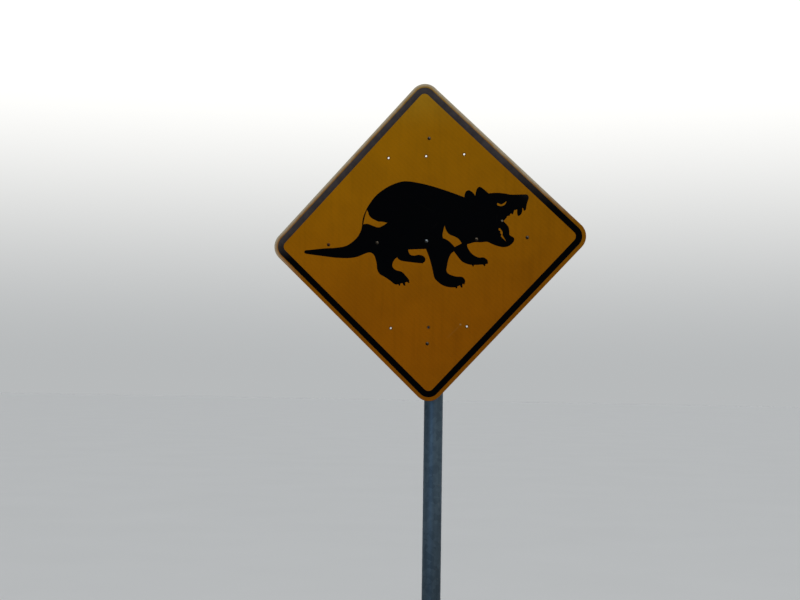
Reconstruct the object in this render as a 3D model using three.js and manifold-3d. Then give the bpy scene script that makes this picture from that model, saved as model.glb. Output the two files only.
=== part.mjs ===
// A diamond wildlife warning sign on its post. A flat aluminium plate, faced with yellow sheeting, carries a
// black border and a black animal figure. It is riveted to three slotted rails, which are strapped to a
// galvanised pipe post. The post stands in a collar on a flat base plate.
// Millimetres, +Z up. The origin is on the post's axis, at the underside of the base. The sign faces -Y.
import * as THREE from "three";
import { mergeVertices } from "three/addons/utils/BufferGeometryUtils.js";
import Module from "manifold-3d";

const wasm = await Module();
wasm.setup();

const GAP = 0.3; // clearance between pieces that touch
const PAST = 2; // how far a cutting tool runs past the faces it cuts
const SUNK = 1; // how far a joined piece runs into the other

// Sign plate
const PLATE_SIDE = 750;
const PLATE_CORNER = 50;
const PLATE_THICKNESS = 1.6;
const SHEET_THICKNESS = 0.5;
const FILM_THICKNESS = 0.5;
const BORDER_MARGIN = 12; // yellow left outside the black border
const BORDER_WIDTH = 20;
const CENTRE_HEIGHT = 2030; // plate's centre above the floor
const SIGN_SHIFT = -18; // plate's centre beside the post's axis
const SIGN_LEAN = THREE.MathUtils.degToRad(-1.6); // about the plate's normal, its top to the left

const CLAW_BLUNTNESS = 0.25; // width of a claw's tip over its root's, on the figure

// Unused fixing holes, in a row above the middle and one below it
const SPARE_RADIUS = 3.2;
const SPARE_SPACING = 124;
const SPARE_SHIFT = 3;
const SPARE_HEIGHT = 275;

// Rails, each with the height of its middle line and the places of its rivets along it
const RAIL_HEIGHT = 40;
const RAIL_DEPTH = 25;
const RAIL_WALL = 2.2;
const RAIL_SLOT = 14;
const RIVET_SPACING = 162.5;
const RAILS = [
  { name: "middle", z: 1, length: 700, centre: 0, rivets: [-2, -1, 0, 1, 2].map((i) => i * RIVET_SPACING) },
  { name: "top", z: 332, length: 160, centre: 22, rivets: [14] },
  { name: "bottom", z: -327, length: 160, centre: 6, rivets: [-2] },
];

// Rivets
const RIVET_HEAD_RADIUS = 5.5;
const RIVET_HEAD_HEIGHT = 2;
const RIVET_SHANK_RADIUS = 2.4;
const RIVET_TAIL_RADIUS = 4.2;
const RIVET_TAIL_LENGTH = 6;
const RIVET_TAIL_BEVEL = 1.2;

// Post and cap
const POST_RADIUS = 30.15;
const POST_WALL = 3.6;
const POST_ABOVE_CENTRE = 385; // top of the post over the plate's centre
const CAP_WALL = 1.5;
const CAP_SKIRT = 22;
const CAP_RISE = 5;

// Straps that hold the rails to the post
const STRAP_THICKNESS = 3;
const STRAP_HEIGHT = 38;
const STRAP_BEND = 4;
const STRAP_REACH = 60; // end of each ear from the post's axis
const BOLT_REACH = 46; // bolt from the post's axis
const BOLT_RADIUS = 4;
const BOLT_HOLE_RADIUS = 5;
const BOLT_END = 8; // thread showing past the nut
const HEAD_THICKNESS = 5.3;
const NUT_THICKNESS = 6.5;
const HEX_RADIUS = 7.5; // over the corners
const WASHER_RADIUS = 8.4;
const WASHER_THICKNESS = 1.6;

// Base
const BASE_SIDE = 500;
const BASE_CORNER = 30;
const BASE_THICKNESS = 12;
const BASE_BEVEL = 1.5;
const COLLAR_RADIUS = 38;
const COLLAR_CLEARANCE = 1.6; // between the collar and the post
const COLLAR_HEIGHT = 120;
const COLLAR_WELD = 6; // leg of the weld round the collar's foot
const SCREW_COUNT = 3;
const SCREW_HEIGHT = 78; // above the base plate
const SCREW_RADIUS = 5;
const SCREW_HEX_RADIUS = 9.2;
const SCREW_HEAD_THICKNESS = 6.4;

// Depths from the post's axis, from the rails forward to the films
const RAIL_BACK = -POST_RADIUS - GAP;
const RAIL_FRONT = RAIL_BACK - RAIL_DEPTH;
const PLATE_BACK = RAIL_FRONT - GAP;
const PLATE_FRONT = PLATE_BACK - PLATE_THICKNESS;
const SHEET_BACK = PLATE_FRONT - GAP;
const SHEET_FRONT = SHEET_BACK - SHEET_THICKNESS;
const FILM_BACK = SHEET_FRONT - GAP;
const FILM_FRONT = FILM_BACK - FILM_THICKNESS;

// How finely curves are divided
const ROUND_STEPS = 8; // a corner or a hole has twice as many sides
const DOME_STEPS = 4; // from a dome's rim to its top
const FIGURE_STEPS = 4; // between two points of the figure's outline
const PIPE_STEPS = 40;
const BOLT_STEPS = 16;
const RIVET_STEPS = 14;

const MATERIALS = {
  aluminium: { color: "#a9aeb2", roughness: 0.45, metalness: 1 },
  yellow: { color: "#e09a06", roughness: 0.35, metalness: 0 },
  black: { color: "#0a0a0c", roughness: 0.3, metalness: 0 },
  galvanised: { color: "#8b969c", roughness: 0.5, metalness: 1 },
  zinc: { color: "#b4b8bb", roughness: 0.35, metalness: 1 },
};

function piece(name, geometry, finish) {
  const mesh = new THREE.Mesh(geometry, new THREE.MeshStandardMaterial(MATERIALS[finish]));
  mesh.name = name;
  return mesh;
}

// Solids for joining and cutting

function solid(geometry) {
  const bare = geometry.clone();
  bare.deleteAttribute("normal");
  bare.deleteAttribute("uv");
  const merged = mergeVertices(bare, 1e-4);
  const vertProperties = merged.attributes.position.array;
  const triVerts = new Uint32Array(merged.index.array);
  return new wasm.Manifold(new wasm.Mesh({ numProp: 3, vertProperties, triVerts }));
}

function geometryOf(shape) {
  const made = shape.getMesh();
  const geometry = new THREE.BufferGeometry();
  geometry.setAttribute("position", new THREE.BufferAttribute(made.vertProperties, 3));
  geometry.setIndex(new THREE.BufferAttribute(made.triVerts, 1));
  geometry.computeVertexNormals();
  return geometry;
}

function join(geometries) {
  return geometries.map(solid).reduce((sum, next) => sum.add(next));
}

function cut(geometry, tools) {
  return geometryOf(solid(geometry).subtract(join(tools)));
}

// Plain shapes

function circle(radius, x = 0, z = 0) {
  return new THREE.Path().absarc(x, z, radius, 0, 2 * Math.PI);
}

// A square with round corners about the origin, standing on one corner when it is a diamond.
function roundedSquare(side, corner, diamond = true) {
  const shape = new THREE.Shape();
  const reach = side / 2 - corner;
  for (let i = 0; i < 4; i++) {
    const turn = (i * Math.PI) / 2 + (diamond ? 0 : Math.PI / 4);
    const spread = reach * Math.SQRT2;
    const x = spread * Math.cos(turn);
    const z = spread * Math.sin(turn);
    shape.absarc(x, z, corner, turn - Math.PI / 4, turn + Math.PI / 4);
  }
  return shape;
}

// A flat piece drawn in x and z that fills the depths from front to back.
function slab(shape, front, back, curveSegments = ROUND_STEPS) {
  const options = { depth: back - front, bevelEnabled: false, curveSegments };
  const geometry = new THREE.ExtrudeGeometry(shape, options);
  return geometry.rotateX(Math.PI / 2).translate(0, back, 0);
}

function rod(radius, front, back, steps = BOLT_STEPS) {
  return new THREE.CylinderGeometry(radius, radius, back - front, steps).translate(0, (front + back) / 2, 0);
}

function upright(profile, steps = PIPE_STEPS) {
  const points = profile.map(([r, z]) => new THREE.Vector2(r, z));
  return new THREE.LatheGeometry(points, steps).rotateX(Math.PI / 2);
}

// The figure on the sign's face, in millimetres from the plate's centre, x to the right and z up

// A closed outline of stretches. A stretch of one point is a straight line to it, and a longer one is a
// smooth curve through its points, so the outline has a corner only where two stretches meet.
function outline(...stretches) {
  const shape = new THREE.Shape();
  const [start, ...rest] = stretches[0];
  shape.moveTo(...start);
  for (const stretch of [rest, ...stretches.slice(1)]) {
    const points = stretch.map(([x, z]) => new THREE.Vector2(x, z));
    if (points.length > 1) shape.splineThru(points);
    else if (points.length) shape.lineTo(points[0].x, points[0].y);
  }
  return shape;
}

// A claw with a blunt tip: its tip, the way it points in degrees from +x, its length and its root's width.
function claw([x, z], pointing, length, width) {
  const along = new THREE.Vector2(1, 0).rotateAround(new THREE.Vector2(), THREE.MathUtils.degToRad(pointing));
  const corner = (back, side) => [x - along.x * back - along.y * side, z - along.y * back + along.x * side];
  const root = width / 2;
  const tip = root * CLAW_BLUNTNESS;
  return outline([corner(length, root)], [corner(length, -root)], [corner(0, -tip)], [corner(0, tip)]);
}

function figureBody() {
  const trunk = outline(
    [[-212, 61], [-210, 77], [-205, 94], [-190, 123], [-164, 155], [-129, 179], [-97, 192], [-66, 197],
      [-20, 189], [31, 174], [82, 155], [126, 137]],
    [[215, 132]],
    [[248, 62]],
    [[165, -8]],
    [[155, -8]],
    [[132, -14]],
    [[89, -35]],
    [[-2, -24]],
    [[-60, -24]],
    [[-97, -48]],
    [[-171, -42]],
  );
  const head = outline(
    [[150, 130]],
    [[203, 146]],
    [[222, 147], [240, 146], [258, 143], [278, 139], [318, 138], [328, 136], [332, 127], [327, 112],
      [323, 97]],
    [[285, 89]],
    [[281, 76]],
    [[273, 79]],
    [[270, 72]],
    [[263, 72]],
    [[260, 66]],
    [[250, 56]],
    [[259, 46], [266, 36], [268, 24], [268, 12]],
    [[273, 8], [282, 2], [283, -7], [276, -17], [265, -24], [249, -27], [228, -22], [211, -15], [196, -8],
      [178, -9], [165, -8]],
    [[150, 20]],
  );
  const rearEar = outline(
    [[125, 132]],
    [[127, 146], [131, 155], [140, 159], [148, 155], [155, 149], [160, 141]],
    [[170, 128]],
  );
  const frontEar = outline(
    [[155, 126]],
    [[161, 142]],
    [[164, 155], [169, 165], [177, 168], [189, 160], [204, 146]],
    [[200, 130]],
  );
  const tail = outline(
    [[-408, -20], [-404, -15], [-390, -14], [-344, -11], [-302, -10], [-274, -7], [-254, 1], [-230, 20],
      [-216, 43], [-212, 61]],
    [[-150, 40]],
    [[-171, -42]],
    [[-178, -33], [-190, -29], [-208, -34], [-227, -41], [-254, -45], [-296, -43], [-349, -35], [-397, -27],
      [-406, -24], [-408, -20]],
  );
  return [trunk, head, rearEar, frontEar, tail];
}

function figureLegs() {
  const nearHind = outline(
    [[-97, -48]],
    [[-105, -54], [-111, -64], [-113, -75], [-108, -84], [-98, -90], [-86, -93], [-76, -100], [-66, -112],
      [-57, -123]],
    [[-66, -128], [-80, -131], [-96, -135], [-106, -134], [-120, -123], [-140, -109], [-155, -100],
      [-163, -85], [-165, -66], [-168, -53], [-171, -42]],
    [[-140, 0]],
  );
  const farHind = outline(
    [[-60, -24]],
    [[-59, -31], [-55, -39], [-48, -43], [-38, -44], [-27, -42], [-16, -44], [-7, -50], [-4, -58], [-8, -66],
      [-20, -69], [-57, -64], [-80, -60], [-91, -55], [-97, -48]],
    [[-97, -10]],
  );
  const nearFront = outline(
    [[-2, -24]],
    [[8, -50], [17, -84], [24, -116], [32, -127], [46, -139], [64, -147], [88, -150], [104, -145],
      [116, -140], [124, -135]],
    [[123, -126], [114, -117], [94, -115], [72, -107], [64, -96], [66, -82], [71, -60], [79, -43], [89, -35]],
    [[30, 10]],
  );
  const farFront = outline(
    [[132, -14]],
    [[133, -22], [138, -32], [146, -43], [156, -51], [169, -57], [182, -57], [190, -60], [197, -67],
      [198, -75]],
    [[192, -79], [178, -80], [150, -80], [133, -77], [115, -68], [103, -54], [94, -42], [89, -35]],
    [[110, -5]],
  );
  return [nearHind, farHind, nearFront, farFront];
}

function figureClawsAndTeeth() {
  const longClaws = [
    [[-90, -139], -80],
    [[-73, -140], -72],
    [[96, -153], -75],
    [[113, -151], -75],
  ].map(([tip, pointing]) => claw(tip, pointing, 22, 16));
  const shortClaws = [
    [[-58, -131], -50],
    [[121, -141], -68],
    [[198, -77], -45],
    [[188, -85], -72],
    [[151, -85], -78],
    [[-14, -70], -80],
  ].map(([tip, pointing]) => claw(tip, pointing, 15, 13));
  const canine = outline(
    [[311, 96]],
    [[310, 82], [305, 74], [299, 70], [295, 74], [294, 84], [295, 94]],
    [[302, 100]],
  );
  const incisor = outline([[324, 98]], [[322, 90], [317, 86], [314, 90], [313, 97]], [[318, 102]]);
  return [...longClaws, ...shortClaws, canine, incisor];
}

function figureGaps() {
  const rump = outline(
    [[-195, 109]],
    [[-191, 101], [-188, 91], [-180, 82], [-168, 75], [-157, 70], [-146, 69], [-128, 65]],
    [[-137, 59], [-147, 54], [-158, 51], [-171, 55], [-183, 60], [-194, 64], [-208, 63]],
    [[-205, 77], [-201, 92], [-195, 109]],
  );
  const neck = outline(
    [[60, 49]],
    [[63, 39], [68, 28], [77, 19], [93, 12], [104, 5], [111, -4], [115, -10]],
    [[92, -21]],
    [[84, -12], [75, -3], [65, 4], [54, 9]],
    [[53, 18], [55, 30], [60, 49]],
  );
  const eye = outline(
    [[230, 112]],
    [[232, 107], [241, 104], [250, 105], [256, 109], [261, 116]],
    [[259, 118]],
    [[254, 114], [249, 111], [243, 109], [237, 112], [233, 114], [230, 112]],
  );
  const lowerTeeth = outline(
    [[235, 35]],
    [[239, 33]],
    [[245, 25]],
    [[247, 19]],
    [[246, 11]],
    [[252, 1]],
    [[258, -9]],
    [[249, -1]],
    [[241, 8]],
    [[243, 14]],
    [[239, 18]],
    [[240, 24]],
    [[234, 28]],
  );
  return [rump, neck, eye, lowerTeeth];
}

function figureFilm() {
  const black = [...figureBody(), ...figureLegs(), ...figureClawsAndTeeth()];
  const film = join(black.map((shape) => slab(shape, FILM_FRONT, FILM_BACK, FIGURE_STEPS)));
  const front = FILM_FRONT - PAST;
  const gaps = join(figureGaps().map((shape) => slab(shape, front, FILM_BACK + PAST, FIGURE_STEPS)));
  const holes = join(rivetPlaces().map(([x, z]) => rivetHole(x, z)));
  return geometryOf(film.subtract(gaps).subtract(holes));
}

// Plate, sheeting and films

function rivetPlaces() {
  return RAILS.flatMap((rail) => rail.rivets.map((x) => [x, rail.z]));
}

function rivetHole(x, z) {
  return rod(RIVET_SHANK_RADIUS + GAP, FILM_FRONT - PAST, RAIL_FRONT + RAIL_WALL + PAST).translate(x, 0, z);
}

function sparePlaces() {
  return [-1, 0, 1].flatMap((column) =>
    [SPARE_HEIGHT, -SPARE_HEIGHT].map((z) => [SPARE_SHIFT + column * SPARE_SPACING, z]),
  );
}

function drilledDiamond() {
  const shape = roundedSquare(PLATE_SIDE, PLATE_CORNER);
  for (const [x, z] of sparePlaces()) shape.holes.push(circle(SPARE_RADIUS, x, z));
  for (const [x, z] of rivetPlaces()) shape.holes.push(circle(RIVET_SHANK_RADIUS + GAP, x, z));
  return shape;
}

function borderRing() {
  const outside = PLATE_SIDE - 2 * BORDER_MARGIN;
  const ring = roundedSquare(outside, PLATE_CORNER - BORDER_MARGIN);
  ring.holes.push(roundedSquare(outside - 2 * BORDER_WIDTH, PLATE_CORNER - BORDER_MARGIN - BORDER_WIDTH));
  return ring;
}

// Rails: a box section with a slot along its back, and a hole through its front wall for each rivet

function railSection() {
  const half = RAIL_HEIGHT / 2;
  const inner = half - RAIL_WALL;
  const lip = RAIL_SLOT / 2;
  const depth = RAIL_DEPTH;
  const wall = RAIL_WALL;
  const outside = [[half, 0], [half, depth], [lip, depth]];
  const upper = [...outside, [lip, depth - wall], [inner, depth - wall], [inner, wall]];
  const lower = upper.map(([z, y]) => [-z, y]).reverse();
  return new THREE.Shape([...upper, ...lower].map(([z, y]) => new THREE.Vector2(z, y)));
}

function rail({ name, z, length, centre, rivets }) {
  const bar = new THREE.ExtrudeGeometry(railSection(), { depth: length, bevelEnabled: false });
  bar.rotateY(Math.PI / 2).translate(centre - length / 2, RAIL_FRONT, z);
  const tools = rivets.map((x) => rivetHole(x, z));
  return piece("rail_" + name, cut(bar, tools), "aluminium");
}

// Rivets: a domed head on the sign's face, a shank, and a tail spread behind the rail's front wall

function rivetGeometry(face) {
  const head = face - GAP;
  const tail = RAIL_FRONT + RAIL_WALL + GAP;
  const end = tail + RIVET_TAIL_LENGTH;
  const profile = [[0, head - RIVET_HEAD_HEIGHT]];
  for (let i = 1; i <= DOME_STEPS; i++) {
    const turn = (i / DOME_STEPS) * (Math.PI / 2);
    profile.push([RIVET_HEAD_RADIUS * Math.sin(turn), head - RIVET_HEAD_HEIGHT * Math.cos(turn)]);
  }
  profile.push([RIVET_SHANK_RADIUS, head], [RIVET_SHANK_RADIUS, tail]);
  profile.push([RIVET_TAIL_RADIUS, tail + RIVET_TAIL_BEVEL], [RIVET_TAIL_RADIUS, end - RIVET_TAIL_BEVEL]);
  profile.push([RIVET_SHANK_RADIUS, end], [0, end]);
  return new THREE.LatheGeometry(profile.map(([r, y]) => new THREE.Vector2(r, y)), RIVET_STEPS);
}

function rivetsOf({ name, z, rivets }) {
  return rivets.map((x, i) => {
    const onFigure = name === "middle" && Math.abs(x) < 2 * RIVET_SPACING;
    const face = onFigure ? FILM_FRONT : SHEET_FRONT;
    const made = piece(`rivet_${name}_${i + 1}`, rivetGeometry(face), "aluminium");
    made.position.set(x, 0, z);
    return made;
  });
}

// Straps, and the bolts whose heads slide in the rails' slots

// Where the post's axis crosses the rail at a height z over the plate's centre, along the rail.
function postCrossing(z) {
  return (-SIGN_SHIFT - z * Math.sin(SIGN_LEAN)) / Math.cos(SIGN_LEAN);
}

// Height in the post's frame of a point on the sign at x along it and z up it.
function standingHeight(x, z) {
  return CENTRE_HEIGHT - x * Math.sin(SIGN_LEAN) + z * Math.cos(SIGN_LEAN);
}

function strapShape() {
  const inner = POST_RADIUS + GAP;
  const outer = inner + STRAP_THICKNESS;
  const front = -POST_RADIUS;
  const back = front + STRAP_THICKNESS;
  const bend = STRAP_BEND;
  const shape = new THREE.Shape();
  shape.moveTo(-STRAP_REACH, back);
  shape.lineTo(-STRAP_REACH, front);
  shape.lineTo(-inner - bend, front);
  shape.quadraticCurveTo(-inner, front, -inner, front + bend);
  shape.absarc(0, 0, inner, Math.PI, 0, true);
  shape.lineTo(inner, front + bend);
  shape.quadraticCurveTo(inner, front, inner + bend, front);
  shape.lineTo(STRAP_REACH, front);
  shape.lineTo(STRAP_REACH, back);
  shape.lineTo(outer + bend, back);
  shape.quadraticCurveTo(outer, back, outer, back + bend);
  shape.absarc(0, 0, outer, 0, Math.PI, false);
  shape.lineTo(-outer, back + bend);
  shape.quadraticCurveTo(-outer, back, -outer - bend, back);
  return shape;
}

function strap({ name, z }) {
  const crossing = postCrossing(z);
  const middle = standingHeight(crossing, z);
  const band = new THREE.ExtrudeGeometry(strapShape(), {
    depth: STRAP_HEIGHT,
    bevelEnabled: false,
    curveSegments: ROUND_STEPS,
  }).translate(0, 0, middle - STRAP_HEIGHT / 2);
  const tools = [-1, 1].map((side) =>
    rod(BOLT_HOLE_RADIUS, -POST_RADIUS - PAST, -POST_RADIUS + STRAP_THICKNESS + PAST)
      .translate(side * BOLT_REACH, 0, standingHeight(crossing + side * BOLT_REACH, z)),
  );
  return piece("strap_" + name, cut(band, tools), "galvanised");
}

function hexagonWithHole(radius, hole) {
  const corners = [0, 1, 2, 3, 4, 5].map((i) => (i * Math.PI) / 3);
  const shape = new THREE.Shape(
    corners.map((turn) => new THREE.Vector2(radius * Math.cos(turn), radius * Math.sin(turn))),
  );
  shape.holes.push(circle(hole));
  return shape;
}

function washerShape() {
  const shape = new THREE.Shape().absarc(0, 0, WASHER_RADIUS, 0, 2 * Math.PI);
  shape.holes.push(circle(BOLT_RADIUS + GAP));
  return shape;
}

function boltsOf({ name, z }) {
  const headBack = RAIL_BACK - RAIL_WALL - GAP;
  const washerFront = -POST_RADIUS + STRAP_THICKNESS + GAP;
  const nutFront = washerFront + WASHER_THICKNESS + GAP;
  const nutBack = nutFront + NUT_THICKNESS;
  const head = rod(HEX_RADIUS, headBack - HEAD_THICKNESS, headBack, 6);
  const shank = rod(BOLT_RADIUS, headBack - SUNK, nutBack + BOLT_END);
  const bolt = geometryOf(join([head, shank]));
  const washer = slab(washerShape(), washerFront, washerFront + WASHER_THICKNESS);
  const nut = slab(hexagonWithHole(HEX_RADIUS, BOLT_RADIUS + GAP), nutFront, nutBack);
  return [-1, 1].flatMap((side, i) => {
    const label = `${name}_${i + 1}`;
    const pieces = [
      piece("bolt_" + label, bolt, "zinc"),
      piece("washer_" + label, washer, "zinc"),
      piece("nut_" + label, nut, "zinc"),
    ];
    for (const made of pieces) made.position.set(postCrossing(z) + side * BOLT_REACH, 0, z);
    return pieces;
  });
}

// Post and cap

const POST_FOOT = BASE_THICKNESS + GAP;
const POST_TOP = CENTRE_HEIGHT + POST_ABOVE_CENTRE;

function post() {
  const bore = POST_RADIUS - POST_WALL;
  const pipe = [[POST_RADIUS, POST_FOOT], [POST_RADIUS, POST_TOP], [bore, POST_TOP], [bore, POST_FOOT],
    [POST_RADIUS, POST_FOOT]];
  return piece("post", upright(pipe), "galvanised");
}

function postCap() {
  const inner = POST_RADIUS + GAP;
  const outer = inner + CAP_WALL;
  const under = POST_TOP + GAP;
  const shoulder = under + CAP_WALL;
  const profile = [[0, under], [inner, under], [inner, under - CAP_SKIRT], [outer, under - CAP_SKIRT]];
  for (let i = 0; i <= DOME_STEPS; i++) {
    const turn = (i / DOME_STEPS) * (Math.PI / 2);
    profile.push([outer * Math.cos(turn), shoulder + CAP_RISE * Math.sin(turn)]);
  }
  profile[profile.length - 1][0] = 0;
  return piece("post_cap", upright(profile), "galvanised");
}

// Base, with a collar that the post stands in and three screws through the collar

function base() {
  const shape = roundedSquare(BASE_SIDE - 2 * BASE_BEVEL, BASE_CORNER - BASE_BEVEL, false);
  const geometry = new THREE.ExtrudeGeometry(shape, {
    depth: BASE_THICKNESS - 2 * BASE_BEVEL,
    bevelThickness: BASE_BEVEL,
    bevelSize: BASE_BEVEL,
    bevelSegments: 1,
    curveSegments: 3,
  });
  return piece("stand_base", geometry.translate(0, 0, BASE_BEVEL), "galvanised");
}

const SCREW_TURNS = Array.from({ length: SCREW_COUNT }, (_, i) => (i * 2 * Math.PI) / SCREW_COUNT);
const SCREW_Z = BASE_THICKNESS + SCREW_HEIGHT;

function collar() {
  const inner = POST_RADIUS + COLLAR_CLEARANCE;
  const foot = BASE_THICKNESS + GAP;
  const top = foot + COLLAR_HEIGHT;
  const ring = upright([
    [inner, foot],
    [COLLAR_RADIUS + COLLAR_WELD, foot],
    [COLLAR_RADIUS, foot + COLLAR_WELD],
    [COLLAR_RADIUS, top],
    [inner, top],
    [inner, foot],
  ]);
  const tools = SCREW_TURNS.map((turn) =>
    rod(SCREW_RADIUS + GAP, inner - PAST, COLLAR_RADIUS + PAST).rotateZ(turn).translate(0, 0, SCREW_Z),
  );
  return piece("stand_collar", cut(ring, tools), "galvanised");
}

function collarScrews() {
  const headStart = COLLAR_RADIUS + GAP;
  const screw = geometryOf(
    join([
      rod(SCREW_RADIUS, POST_RADIUS + GAP, headStart + SUNK),
      rod(SCREW_HEX_RADIUS, headStart, headStart + SCREW_HEAD_THICKNESS, 6),
    ]),
  );
  return SCREW_TURNS.map((turn, i) => {
    const made = piece(`stand_screw_${i + 1}`, screw, "zinc");
    made.position.z = SCREW_Z;
    made.rotation.z = turn;
    return made;
  });
}

// The whole object

const sign = new THREE.Group();
sign.position.set(SIGN_SHIFT, 0, CENTRE_HEIGHT);
sign.rotation.y = SIGN_LEAN;
sign.add(
  piece("sign_plate", slab(drilledDiamond(), PLATE_FRONT, PLATE_BACK), "aluminium"),
  piece("face_sheet", slab(drilledDiamond(), SHEET_FRONT, SHEET_BACK), "yellow"),
  piece("border_film", slab(borderRing(), FILM_FRONT, FILM_BACK), "black"),
  piece("figure_film", figureFilm(), "black"),
  ...RAILS.flatMap((each) => [rail(each), ...rivetsOf(each), ...boltsOf(each)]),
);

const support = new THREE.Group();
support.add(post(), postCap(), ...RAILS.map(strap), base(), collar(), ...collarScrews());

const root = new THREE.Group();
root.add(support, sign);

export default root;
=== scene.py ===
"""Looks of a diamond wildlife warning sign on its galvanised post.

A flat plate with yellow sheeting carries a black border and a black animal figure. Seven rivets hold it to
three slotted rails, which are strapped to a pipe post. The post stands in a collar on a flat base. Places
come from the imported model, and the other sizes are named below. Metres, +Z up. The sign faces -Y.
"""

import logging
import math
from collections.abc import Sequence
from dataclasses import dataclass, field
from enum import Enum
from functools import partial, reduce

import bmesh
import bpy
from mathutils import Matrix, Vector


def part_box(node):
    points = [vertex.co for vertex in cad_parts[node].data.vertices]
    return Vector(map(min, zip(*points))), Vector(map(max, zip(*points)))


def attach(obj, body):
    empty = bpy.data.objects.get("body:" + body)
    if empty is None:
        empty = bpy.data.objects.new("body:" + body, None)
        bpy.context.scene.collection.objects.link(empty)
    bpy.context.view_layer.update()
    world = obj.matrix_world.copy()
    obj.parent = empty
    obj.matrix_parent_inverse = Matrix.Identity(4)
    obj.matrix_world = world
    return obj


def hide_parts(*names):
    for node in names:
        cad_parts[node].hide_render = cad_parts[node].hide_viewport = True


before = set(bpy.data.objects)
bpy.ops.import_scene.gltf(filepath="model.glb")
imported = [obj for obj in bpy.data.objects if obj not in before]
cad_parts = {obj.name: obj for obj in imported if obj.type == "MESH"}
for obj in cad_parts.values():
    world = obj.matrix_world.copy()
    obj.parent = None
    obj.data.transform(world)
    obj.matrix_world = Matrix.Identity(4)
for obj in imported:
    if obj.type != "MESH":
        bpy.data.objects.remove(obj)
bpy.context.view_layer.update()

log = logging.getLogger("sign")

MM = 0.001
RAILS = ("middle", "top", "bottom")

Colour = tuple[float, float, float]
Triple = tuple[float, float, float]
Flat = tuple[float, float]
Ring = Sequence[Vector]
Socket = bpy.types.NodeSocket


class Slot(Enum):
    """The record's material slots."""

    SHEETING = "yellow_sheeting"
    FILM = "black_film"
    PLATE = "aluminium_plate"
    RAIL = "aluminium_rail"
    RIVET = "aluminium_rivet"
    GALVANISED = "galvanised_steel"
    FASTENER = "zinc_fastener"


class Grain(Enum):
    """The way that marks run over a surface, as stretches of a pattern along x, y and z."""

    ROLLED = (5.0, 220.0, 220.0)
    DRAWN = (60.0, 60.0, 3.0)
    RAIN = (70.0, 1.0, 5.0)


class Facing(Enum):
    """Turns that lay a part built along +Z onto the sign's depth."""

    FRONT = math.radians(90)
    BACK = math.radians(-90)

    @property
    def matrix(self) -> Matrix:
        """The turn about the x axis."""
        return Matrix.Rotation(self.value, 4, "X")


@dataclass(frozen=True)
class Fade:
    """A smooth change from low to high as a value goes from start to end. Beyond them it stays the same."""

    start: float
    end: float
    low: float = 0.0
    high: float = 1.0

    @property
    def inputs(self) -> dict[str, float]:
        """What a Map Range node takes."""
        return {"From Min": self.start, "From Max": self.end, "To Min": self.low, "To Max": self.high}


@dataclass(frozen=True)
class Noise:
    """Soft noise around 0.5, with its scale for each metre, its layers of detail and how strong they are."""

    scale: float
    detail: float = 3.0
    roughness: float = 0.5

    @property
    def inputs(self) -> dict[str, float]:
        """What a Noise Texture node takes."""
        return {"Scale": self.scale, "Detail": self.detail, "Roughness": self.roughness}


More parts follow.
